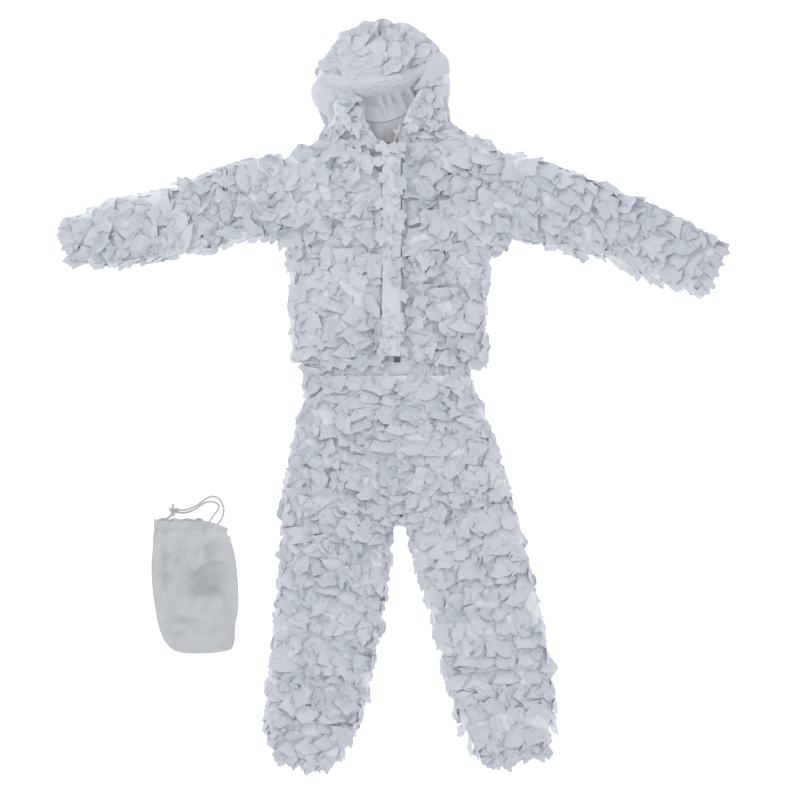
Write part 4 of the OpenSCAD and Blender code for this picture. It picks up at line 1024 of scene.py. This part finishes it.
# the back of the hood, two layers of cloth thick, joined to the collar
hood_rows = np.concatenate([HOOD_AT[1] + HOOD_R * np.cos(np.linspace(0.12, 1.75, 16)), [770, 752, 735, 712]])
COLLAR_X, COLLAR_TOP = (-181.0, 149.0), 790
hood_half, hood_mid_x = [], []
for y in hood_rows:
    half = math.sqrt(max(HOOD_R ** 2 - (y - HOOD_AT[1]) ** 2, 0))
    lo, hi = HOOD_AT[0] - half, HOOD_AT[0] + half
    if y < COLLAR_TOP:
        lo, hi = min(lo, COLLAR_X[0]), max(hi, COLLAR_X[1])
    hood_mid_x.append((lo + hi) / 2)
    hood_half.append((hi - lo) / 2)
hood_rise = np.where(hood_rows < 745, 5.0, 8.5)
hood_loft = Loft(np.stack([hood_mid_x, hood_rows], -1), [(1, 0)] * len(hood_rows), hood_half, 13, hood_rise)
hood_back = finished(hood_loft.shell("hood_back_panel", 0, hood_loft.s[-1], SMOOTH, 31, columns=64, step=12.0, amp=1.2),
                     "base_cloth", "hood_back_cloth")
hood_under = finished(back_flaps("hood_back_flaps", hood_loft, 4, hood_loft.s[-1] - 20, 32), "leaf_cloth",
                      "hood_back_leaf_cover")
for obj in (hood_back, hood_under):
    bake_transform(obj)


# the crown: a puffed dome whose front edge is drawn up on the brim's elastic
def crown_point(u, v):
    """u from 0 at the left end of the brim to 1 at the right, v round from under the brim to the top edge."""
    x = -211 + u * (121 + 211)
    low, high = brim_y(x), top_y(x)
    depth = np.maximum(high - low, 0)
    bulk = np.clip(depth / 185, 0, 1) ** 0.45
    stations = np.array([0.0, 0.1, 0.2, 0.35, 0.55, 0.78, 1.0])
    run = np.interp(v, stations, [0.07, -0.03, 0.02, 0.2, 0.48, 0.8, 1.0])
    rise = np.interp(v, stations, [26, 34, 56, 72, 70, 50, 2])
    return np.stack(np.broadcast_arrays(x, low + run * depth, 20 + rise * bulk), -1)


def crown_smooth(u, v):
    """The crown's surface with its corners rounded off."""
    return sum(crown_point(u, np.clip(v + d, 0, 1)) for d in (-0.06, -0.03, 0, 0.03, 0.06)) / 5


def rumple_crown(points):
    """The roll of cloth along the brim, with long folds beside it, and softer folds over the top."""
    x, y = points[..., 0], points[..., 1]
    d = y - brim_y(x)
    roll = 8 * np.exp(-((d - 21) / 17) ** 2) - 7 * np.exp(-((d - 52 - 8 * ripple(x, 0 * x, 110, 36)) / 10) ** 2)
    long_folds = 3.6 * folds(x, d, 85, 21, 0.10, 37) * smoothstep(3, 18, d) * (1 - smoothstep(70, 110, d))
    soft_folds = 5.0 * folds(x, y, 80, 38, 0.7, 38) * smoothstep(50, 90, d)
    rim = smoothstep(0, 40, top_y(x) - y)
    points[..., 2] += roll * smoothstep(0, 8, d) * (0.4 + 0.6 * rim) + (long_folds + soft_folds) * rim
    return points


cu, cv = np.meshgrid(np.linspace(0.0, 1.0, 150), np.linspace(0, 1, 84), indexing="ij")
crown = rumple_crown(crown_smooth(cu, cv))
crown[..., 2] += 1.6 * np.cos(2 * np.pi * 26 * cu + 1.3 * np.sin(9 * cu)) * (1 - smoothstep(0.1, 0.4, cv))
finished(make_mesh("hood_crown_dome", crown.reshape(-1, 3), [grid_faces(150, 84)], LEAF, 0.6 + 0 * cu.ravel()),
         "base_cloth", "hood_crown_cloth", body="hood")

rng = np.random.default_rng(34)
count = 84
u = (np.arange(count) + 0.5) / count
u = np.mod(u * 29.7 + rng.uniform(-0.02, 0.02, count), 1) * 0.98 + 0.01
v = 0.42 + 0.58 * (np.arange(count) + 0.5) / count
root = rumple_crown(crown_smooth(u, v))
shifted = lambda du, dv: crown_smooth(np.clip(u + du, 0, 1), np.clip(v + dv, 0, 1))
du = shifted(0.02, 0) - shifted(-0.02, 0)
dv = shifted(0, 0.02) - shifted(0, -0.02)
normal = unit(np.cross(du, dv))
normal *= np.where(normal[:, 2:3] < 0, -1, 1)
normal = unit(normal + [0, 0, 0.8])
outward = unit(root - [-55, 842, 60])
forward = 1 - smoothstep(0.16, 0.30, v)[:, None]
aim = outward * (1 - forward) + forward * np.array([0, -1.0, 0])


def in_crown(points):
    """Keeps tips within a finger's width of the hood's outline, and off the shaded inside of the hood."""
    rel = points[..., :2] - HOOD_AT
    away = np.linalg.norm(rel, axis=-1, keepdims=True)
    angle = np.arctan2(rel[..., 1:], rel[..., :1])
    limit = HOOD_R + 1 + 14 * np.exp(-((angle - 0.75) / 0.3) ** 2) + 9 * np.exp(-((angle - 1.65) / 0.5) ** 4)
    limit = limit + 8 * zigzag(15 * angle + 2.2 * np.sin(3.7 * angle))
    factor = np.where(away > limit, (limit + 0.25 * (away - limit)) / np.maximum(away, 1), 1)
    points[..., :2] = HOOD_AT + rel * factor
    low = brim_y(points[..., 0]) - 12
    y = points[..., 1]
    points[..., 1] = np.where(y < low, low + 0.2 * (y - low), y)
    return points


use = (root[:, 1] < top_y(root[:, 0]) - 4) & (root[:, 0] > -155) & (root[:, 1] - brim_y(root[:, 0]) > 58)
aim = aim - normal * np.sum(aim * normal, 1, keepdims=True)
finished(scattered_flaps("hood_crown_flaps", root[use], aim[use], 35, size=1.45, lift=(1, 9), calm=0.8,
                         normal=normal[use], ceiling=122.0, fence=in_crown), "leaf_cloth",
         "hood_crown_leaf_cover", body="hood")

# the brim's elastic, in its narrow casing
bx = np.linspace(-205, 114, 150)
brim_path = np.stack([bx, brim_y(bx) + 1.0, 50 + 6 * np.sin(np.pi * (bx + 205) / 319) + 1.2 * np.cos(bx / 3.3)], -1)
finished(ribbon_tube("hood_brim_casing", brim_path, 4.2 + 0.5 * np.cos(bx / 1.7), ELASTIC, sides=12), "elastic",
         "hood_brim_binding", body="hood")

# the hood's lining, gathered from the brim down to the seam at the back of the neck
seam_points = np.array([(-196, 800, 24), (-150, 786, 23), (-106, 766, 23), (-72, 752, 23), (-41, 750, 23),
                        (-10, 756, 23), (17, 768, 23), (60, 800, 24), (108, 862, 26)], float)
seam = smooth_path(seam_points, 1.7)
seam_share = np.linspace(0, 1, len(seam))
brim_x = np.interp(seam_share, np.linspace(0, 1, len(bx)), bx)
upper_line = np.stack([brim_x, brim_y(brim_x) + 4, 46 + 4 * np.sin(np.pi * seam_share)], -1)
lv = np.linspace(0, 1, 16)
lining = upper_line[:, None] * (1 - lv[None, :, None]) + seam[:, None] * lv[None, :, None]
lining[..., 2] += -14 * np.sin(np.pi * lv) * np.sin(np.pi * seam_share)[:, None]
gather_wave = 2 * np.pi * 10 * seam_share + 2.6 * np.sin(9 * seam_share) + 1.2 * np.sin(23 * seam_share)
gathers = zigzag(gather_wave[:, None] + 1.1 * np.sin(2.5 * lv + 3 * seam_share[:, None]))
lining[..., 2] += 10.5 * gathers * (np.sin(np.pi * lv) ** 0.5) * smoothstep(0, 0.12, seam_share)[:, None]
lining[..., 0] += 3.0 * np.roll(gathers, 3, 0) * np.sin(np.pi * lv)
# painted shade: the lining is darker in the valleys of the gathers and lighter on their crests, darker down toward the
# seam, and darker at its left end
shaded_left = np.exp(-(seam_share / 0.35) ** 2)[:, None]
lining_painted_shade = np.broadcast_to(0.55 + 0.3 * gathers + 0.3 * (1 - lv)[None] - 0.35 * shaded_left, lining.shape[:2])
finished(make_mesh("hood_gathered_lining", lining.reshape(-1, 3), [grid_faces(len(seam), 16)], LINING_PAINTED_SHADE,
                   lining_painted_shade.ravel()), "lining_cloth", body="hood")
seam_cord = seam + [0, 0, 1.2]
finished(ribbon_tube("hood_lining_seam", seam_cord[8:-8], 2.1, PLACKET, sides=8, bump=0.15, strands=1, twist=0.9),
         "lining_cloth", body="hood")


def turned_out(name, outer_edge, inner_edge, height, seed, material):
    """A roll of the lining turned out at one end of the brim, between its outer and its inner edge."""
    outer_edge, inner_edge = smooth_path(outer_edge, 2.5), smooth_path(inner_edge, 2.5)
    inner_edge = np.stack([np.interp(np.linspace(0, 1, len(outer_edge)), np.linspace(0, 1, len(inner_edge)),
                                     inner_edge[:, k]) for k in range(3)], -1)
    w = np.linspace(0, 1, 36)[None, :, None]
    roll = outer_edge[:, None] * (1 - w) + inner_edge[:, None] * w
    across = np.sin(np.pi * w[..., 0])
    along = np.linspace(0, len(outer_edge) * 2.5, len(outer_edge))[:, None]
    roll[..., 2] += height * across ** 0.55
    roll[..., 2] += 3.4 * folds(along, 70 * w[..., 0], 90, 24, 0.15, seed) * across ** 0.8
    return make_mesh(name, roll.reshape(-1, 3), [grid_faces(len(outer_edge), 36)], material,
                     0.6 + 0 * roll[..., 0].ravel())


finished(turned_out("hood_lining_roll", [(-196, 872, 48), (-219, 858, 34), (-229, 832, 30), (-224, 803, 28),
                                         (-209, 782, 27), (-193, 766, 25), (-176, 752, 24)],
                    [(-135, 866, 80), (-121, 850, 84), (-118, 828, 66), (-134, 808, 46), (-150, 796, 34),
                     (-162, 781, 28), (-172, 764, 24)], 21, 45, LEAF), "lining_cloth", "hood_lining", body="hood")
finished(turned_out("hood_lining_roll_right", [(112, 944, 40), (138, 925, 42), (147, 890, 44), (143, 862, 42),
                                               (124, 838, 38)],
                    [(84, 944, 66), (80, 914, 74), (76, 884, 70), (64, 858, 64), (46, 832, 50)], 18, 46, SMOOTH),
         "lining_cloth", body="hood")

# the leafy front edges of the hood, from the ends of the brim down to the open neck
band_lofts = {
    "left": Loft([(-162, 803), (-148, 788), (-140, 768), (-134, 748), (-130, 728)],
                 [(0.55, 0.83), (0.65, 0.76), (0.8, 0.6), (0.95, 0.3), (1, 0.1)], [14, 26, 38, 50, 56], 44, 16),
    "right": Loft([(122, 876), (117, 858), (110, 834), (98, 800), (88, 770), (83, 742), (82, 728)],
                  [(1, 0), (1, -0.1), (0.95, -0.25), (0.9, -0.4), (0.95, -0.3), (1, -0.1), (1, 0)],
                  [22, 32, 40, 46, 54, 62, 66], 46, 17)}
for number, (side, loft) in enumerate(band_lofts.items()):
    end = loft.s[-1]
    finished(loft.shell(f"hood_front_band_{side}", 0, end - 9, BASE_PAINTED_BRIGHT, 41 + number, columns=30, step=6.0), "base_cloth",
             body="hood")
    flaps = front_flaps(f"hood_front_band_{side}_flaps", loft, 0, end - 10, 43 + number, size=0.95, lift=(4, 15),
                        row=22.0, gap=24.0, over=(0, 8), wander=0.6)
    finished(flaps, "leaf_cloth", body="hood")
    if side == "left":
        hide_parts("hood_front_bands")

# ---------------------------------------------------------------- open neck, label and placket
neck_edge = smooth_path([(-5, 686, 50), (1, 704, 54), (7, 722, 55), (13, 742, 52)], 2.0)
finished(ribbon_tube("neck_edge_right", neck_edge, 2.2, PLACKET, sides=10, bump=0.08, strands=2, twist=0.4),
         "base_cloth", body="jacket")
beside_neck = [(x, y, 46.0) for x, y in ((-84, 738), (-76, 722), (-66, 706), (-56, 692), (-100, 742), (-120, 744),
                                         (-142, 742), (-164, 738), (20, 736), (16, 716), (10, 700), (38, 742),
                                         (60, 744), (84, 744), (108, 742), (132, 738))]
away_from_neck = [(-0.5 if x < -40 else 0.5, -0.9, 0) for x, y, z in beside_neck]
finished(scattered_flaps("neck_flaps", np.array(beside_neck), np.array(away_from_neck, float), 58,
                         lift=(6, 16), wander=0.4, fence=zip_fence, ceiling=CEILING), "leaf_cloth", body="jacket")


def closed_sheet(name, grid, thick, material):
    """A sheet of cloth: a grid of points, the same some millimetres lower, and a rim between them."""
    rows, cols = grid.shape[:2]
    top, faces = grid.reshape(-1, 3), grid_faces(rows, cols)
    n = len(top)
    rim = np.concatenate([np.arange(cols), np.arange(1, rows) * cols + cols - 1,
                          (rows - 1) * cols + np.arange(cols - 2, -1, -1), np.arange(rows - 2, 0, -1) * cols])
    nxt = np.roll(rim, -1)
    return make_mesh(name, np.concatenate([top, top - [0, 0, thick]]),
                     [faces, faces[:, ::-1] + n, np.stack([nxt, rim, rim + n, nxt + n], -1)], material)


label_low, label_high = box_mm("neck_label")
lx, ly = np.meshgrid(np.linspace(label_low[0], label_high[0], 26), np.linspace(label_low[1], label_high[1], 26),
                     indexing="ij")
lu = (lx - label_low[0]) / (label_high[0] - label_low[0])
lw = (ly - label_low[1]) / (label_high[1] - label_low[1])
lz = 22.2 + 0.9 * np.sin(3.1 * lu + 1) * np.sin(2.6 * lw) + 2.4 * (1 - smoothstep(0, 0.35, lw)) * (0.4 + 0.6 * lu)
label = closed_sheet("neck_label_blank", np.stack([lx, ly, lz], -1), 0.7, LABEL)
finished(label, "label_cloth", "neck_label", body="jacket")
top_edge = label_high[1] - 2.2
finished(stitches("neck_label_stitches", [(label_low[0] + 2, top_edge, 23.6), (label_high[0] - 2, top_edge, 23.6)],
                  PLACKET, length=2.4, gap=1.6, thick=0.35), "label_cloth", body="jacket")

flap_low, flap_high = box_mm("placket_flap")
seam_low, seam_high = box_mm("placket_seam")
TURNED_DOWN = 17  # how much of the placket is turned down at its seam
px0, px1, py0, py1 = flap_low[0], seam_high[0], flap_low[1], flap_high[1]
pu, pv = np.meshgrid(np.linspace(0, 1, 30), np.linspace(0, 1, 190), indexing="ij")
gx, gy = px0 + pu * (px1 - px0), py0 + pv * (py1 - py0)
edge_x = np.minimum(gx - px0, px1 - gx)
wave = 1.3 * ripple(gx, gy, 46, 51) + 1.6 * ripple(0 * gx, gy, 150, 52) + 1.1 * folds(gx, gy, 40, 26, 0.3, 56)
gz = 70.2 + np.clip(wave, -2.0, 2.6) * smoothstep(0, 60, py1 - gy + 40)
gz -= 1.2 * (1 - smoothstep(0, 5, edge_x)) + 1.5 * (1 - smoothstep(0, 2.4, gx - px0))
gz -= 0.5 * np.exp(-((edge_x - 7.5) / 1.6) ** 2)
gz -= TURNED_DOWN * smoothstep(seam_low[0] + 0.5, px1, gx)
gx = gx + (1.2 * ripple(0 * gy, gy, 90, 53) + 0.8 * ripple(0 * gy, gy, 30, 57)) * (1 - smoothstep(0.3, 0.6, pu))
placket = closed_sheet("placket_strip", np.stack([gx, gy, gz], -1), 1.6, PLACKET)
finished(placket, "placket_cloth", "placket_flap", "placket_seam")
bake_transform(placket)
stitch_z = 71.2
for name, x in (("placket_stitches_left", px0 + 7.5), ("placket_stitches_right", flap_high[0] - 7.5)):
    finished(stitches(name, [(x, py0 + 6, stitch_z), (x, py1 - 6, stitch_z)], PLACKET, thick=0.55), "placket_cloth",
             body="placket_flap")
for k, y in enumerate((py0 + 8, 246, 392, 532, py1 - 8)):
    bar = [(px0 + 6, y, stitch_z), (flap_high[0] - 5, y, stitch_z)]
    finished(stitches(f"placket_bar_{k}", bar, PLACKET, thick=0.6), "placket_cloth", body="placket_flap")

# flaps sewn along the placket's edges, which half cover its upper part
rng = np.random.default_rng(54)
edge_left = np.concatenate([np.arange(py1 - 8, 396, -33.0), [236, 214, 190, 164, 142]])
edge_right = np.concatenate([np.arange(py1 - 20, 270, -31.0), [228, 204, 176, 150]])
y = np.concatenate([edge_left, edge_right])
on_left = np.arange(len(y)) < len(edge_left)
x = np.where(on_left, px0 + 3, flap_high[0] - 2) + rng.uniform(-2, 2, len(y))
root = np.stack([x, y + rng.uniform(-5, 5, len(y)), np.full(len(y), 71.6)], -1)
aim = np.stack([np.where(on_left, 0.16, -0.16), -np.ones(len(y)), np.zeros(len(y))], -1)
at_top = np.array([(px0 + 8, py1 + 4, 71.8), (px0 + 24, py1 + 2, 72.4), (flap_high[0] - 6, py1 + 5, 72.0)])
root = np.concatenate([root, at_top])
aim = np.concatenate([aim, [(-0.2, -1, 0), (0.1, -1, 0), (0.25, -1, 0)]])
finished(scattered_flaps("placket_edge_flaps", root, aim, 55, size=0.72, lift=(2, 8), wander=0.4, ceiling=CEILING,
                         calm=0.7), "leaf_cloth", body="placket_flap")

for name, material in (("zip_tape_left", TAPE), ("zip_tape_right", TAPE), ("zip_coil_left", NYLON),
                       ("zip_coil_right", NYLON), ("zip_stops", METAL), ("zip_slider", METAL), ("zip_pull", METAL)):
    mesh = frame["nodes"][name].data
    mesh.materials.clear()
    mesh.materials.append(material)

# ---------------------------------------------------------------- drawstring bag
# its outline, from the left end of the mouth down, round the bottom and up to the right end
BAG_LINE = np.array([(-650, -333), (-653, -345), (-657, -358), (-660, -400), (-664, -450), (-661, -520), (-653, -575),
                     (-643, -625), (-625, -665), (-604, -685), (-570, -694), (-520, -695), (-470, -689), (-446, -682),
                     (-438, -660), (-436, -626), (-428, -575), (-427, -525), (-431, -470), (-437, -425), (-446, -392),
                     (-450, -376), (-459, -366), (-455, -356), (-470, -347), (-498, -338), (-512, -333)], float)


def on_floor(px, py):
    """The place that a spot of the camera's picture shows, in millimetres."""
    return (px - 395.5) * 2.7, (398 - py) * 2.7


def bag_sides(y):
    """Left and right edge of the bag at a height y of the picture."""
    line = smooth_path(np.concatenate([BAG_LINE, np.zeros((len(BAG_LINE), 1))], 1), 3.0)[:, :2]
    lowest = line[:, 1].argmin()
    left, right = line[:lowest + 1][::-1], line[lowest:]
    return np.interp(y, left[:, 1], left[:, 0]), np.interp(y, right[:, 1], right[:, 0])


def crease(x, y, points, width, height, lean=0.0):
    """A soft ridge along a line of points: steep on one side if lean isn't 0."""
    path = smooth_path([(*p, 0) for p in points], 4.0)[:, :2]
    rel = np.stack([x, y], -1)[..., None, :] - path
    dist = np.linalg.norm(rel, axis=-1)
    near = dist.argmin(-1)
    ahead = unit(np.gradient(path, axis=0))[near]
    r = np.take_along_axis(rel, near[..., None, None], -2)[..., 0, :]
    signed = ahead[..., 0] * r[..., 1] - ahead[..., 1] * r[..., 0]
    fade = smoothstep(0, 0.25, np.minimum(near, len(path) - 1 - near) / max(len(path) - 1, 1))
    return height * fade * np.exp(-np.abs(dist.min(-1) / (width * (1 + lean * np.sign(signed)))) ** 1.6)


bag_low_y, bag_top_y = BAG_LINE[:, 1].min() + 0.5, -333.0
bag_y, across = np.meshgrid(bag_low_y + (bag_top_y - bag_low_y) * np.linspace(0, 1, 150) ** 0.9,
                            np.linspace(-1, 1, 100), indexing="ij")
left_x, right_x = bag_sides(bag_y)
bag_x = (left_x + right_x) / 2 + (right_x - left_x) / 2 * across
inset = np.minimum(np.minimum(bag_x - left_x, right_x - bag_x), bag_y - bag_low_y)
puff = 18.5 * np.clip(inset / 26, 0, 1) ** 0.45
neck_in = 1 - smoothstep(0, 40, bag_top_y - bag_y)
bag_z = 2.2 + puff * (1 - 0.35 * neck_in)
# each fold: spots of the picture along it, width, height and lean
bag_folds = [([(190, 578), (200, 567), (212, 561), (226, 563)], 7, 9.5, 0.4),
             ([(188, 594), (206, 597), (224, 588)], 15, -7.5, 0.0),
             ([(161, 543), (163, 568), (162, 594)], 6, 7.0, 0.3), ([(170, 540), (172, 566), (169, 588)], 7, 5.0, -0.3),
             ([(181, 532), (184, 556), (192, 574)], 8, 6.0, 0.3), ([(205, 531), (208, 548), (216, 560)], 8, 5.5, -0.2),
             ([(222, 594), (228, 606), (234, 622)], 7, 6.0, 0.2), ([(226, 610), (216, 626), (202, 634)], 10, 5.0, 0.0),
             ([(158, 610), (168, 628), (184, 638)], 9, 5.5, 0.3), ([(172, 602), (186, 618), (200, 622)], 14, 5.0, 0.0),
             ([(196, 640), (206, 646), (224, 643)], 7, 4.5, 0.2), ([(154, 523), (160, 529), (168, 534)], 6, 6.0, 0.0)]
soft_rim = np.clip(inset / 16, 0, 1)
for line, width, height, lean in bag_folds:
    line = [on_floor(*spot) for spot in line]
    bag_z = bag_z + 1.3 * crease(bag_x, bag_y, line, width, height, lean) * soft_rim
bag_z += (2.6 * ripple(bag_x, bag_y, 75, 61) + 1.0 * ripple(bag_x, bag_y, 26, 62)
          + 2.6 * folds(bag_x, bag_y, 110, 46, 1.1, 65)) * soft_rim
# gathers run down from the drawn mouth
mouth_share = np.clip(1 - (bag_top_y - 22 - bag_y) / 80, 0, 1)
gathers = np.cos(bag_x / 4.0 + 1.6 * ripple(bag_x, 0 * bag_y, 60, 63))
bag_z += 2.6 * mouth_share ** 1.5 * gathers * np.clip(inset / 8, 0, 1)
# the channel of the cord, and the sewn line under it
channel = np.exp(-((bag_y + 345) / 8.0) ** 4)
bag_z += 3.0 * channel - 2.6 * np.exp(-((bag_y + 360) / 2.6) ** 2)
bag_z = np.clip(bag_z, 2.2, 34)
back_z = np.full_like(bag_z, 0.6) + 0.9 * (1 - np.clip(inset / 6, 0, 1))
top = np.stack([bag_x, bag_y, bag_z], -1).reshape(-1, 3)
under = np.stack([bag_x, bag_y, back_z], -1).reshape(-1, 3)
rows, cols = bag_y.shape
grid, count = grid_faces(rows, cols), rows * cols
sides = []
for line in (np.arange(cols), np.arange(rows) * cols + cols - 1, (np.arange(rows) * cols)[::-1]):
    a, b = line[:-1], line[1:]
    sides.append(np.stack([a, b, b + count, a + count], -1))


def cloud(px, py, wide, tall):
    """1 round a spot of the picture and 0 away from it."""
    x, y = on_floor(px, py)
    return np.exp(-((bag_x - x) / wide) ** 4 - ((bag_y - y) / tall) ** 4)


# painted shade: darker where the cloth sinks in; also darker along the rim, and a slow random drift
bag_tone_and_painted_shade = (0.92 - 0.50 * cloud(205, 582, 52, 40) - 0.36 * cloud(180, 620, 34, 12) - 0.30 * cloud(163, 568, 12, 60)
            - 0.28 * cloud(209, 552, 16, 24) - 0.22 * cloud(178, 553, 10, 44) + 0.1 * ripple(bag_x, bag_y, 60, 66)
            - 0.25 * cloud(178, 634, 24, 8) - 0.2 * cloud(160, 528, 14, 12)
            - 0.5 * np.exp(-(inset / 4.5) ** 2))
bag = make_mesh("bag_shell", np.concatenate([top, under]), [grid[:, ::-1], grid + count] + sides, BAG,
                np.tile(bag_tone_and_painted_shade.ravel(), 2))
finished(bag, "bag_cloth", "bag_back_panel", "bag_front_panel", "bag_seams", body="bag")

# the ruffled mouth that stands past the cord's channel
rx = np.linspace(-657, -522, 120)
rv = np.linspace(0, 1, 9)
ruffle_y = -351 + 24 * rv[None] + 2.2 * np.cos(rx / 5.3)[:, None] * rv[None]
ruffle_z = 12 + 7.5 * np.cos(rx / 4.1 + 1.2 * ripple(rx, 0 * rx, 50, 64))[:, None] * rv[None] ** 0.7
ruffle = np.stack([np.broadcast_to(rx[:, None], ruffle_y.shape), ruffle_y, np.maximum(ruffle_z, 1)], -1)
finished(make_mesh("bag_mouth_ruffle", ruffle.reshape(-1, 3), [grid_faces(120, 9)], BAG,
                   0.85 + 0 * ruffle[..., 0].ravel()), "bag_cloth",
         "bag_mouth_casing", "bag_drawcord_in_casing", body="bag")
side_line = smooth_path([(*p, 0) for p in BAG_LINE[1:-1]], 3.0)[:, :2]
inward = unit(np.array([-543.0, -520.0]) - side_line) * 8
stitch_path = np.concatenate([side_line + inward, np.zeros((len(side_line), 1))], 1)
close = ((stitch_path[:, None, :2] - top[None, ::7, :2]) ** 2).sum(-1).argmin(1)
stitch_path[:, 2] = top[::7][close, 2] + 0.3
finished(stitches("bag_seam_stitches", stitch_path[::4], TAPE, thick=0.4), "bag_cloth", body="bag")

# ---------------------------------------------------------------- floor
floor_mat, nodes, links, shader = new_material("floor")
shader.inputs["Base Color"].default_value = (0.9, 0.9, 0.9, 1)
shader.inputs["Roughness"].default_value = 0.9
shader.inputs["Emission Color"].default_value = (1, 1, 1, 1)
shader.inputs["Emission Strength"].default_value = 0.62
floor = make_mesh("floor", [(-9000, -9000, -0.4), (9000, -9000, -0.4), (9000, 9000, -0.4), (-9000, 9000, -0.4)],
                  [np.array([[0, 1, 2, 3]])], floor_mat, smooth=False)
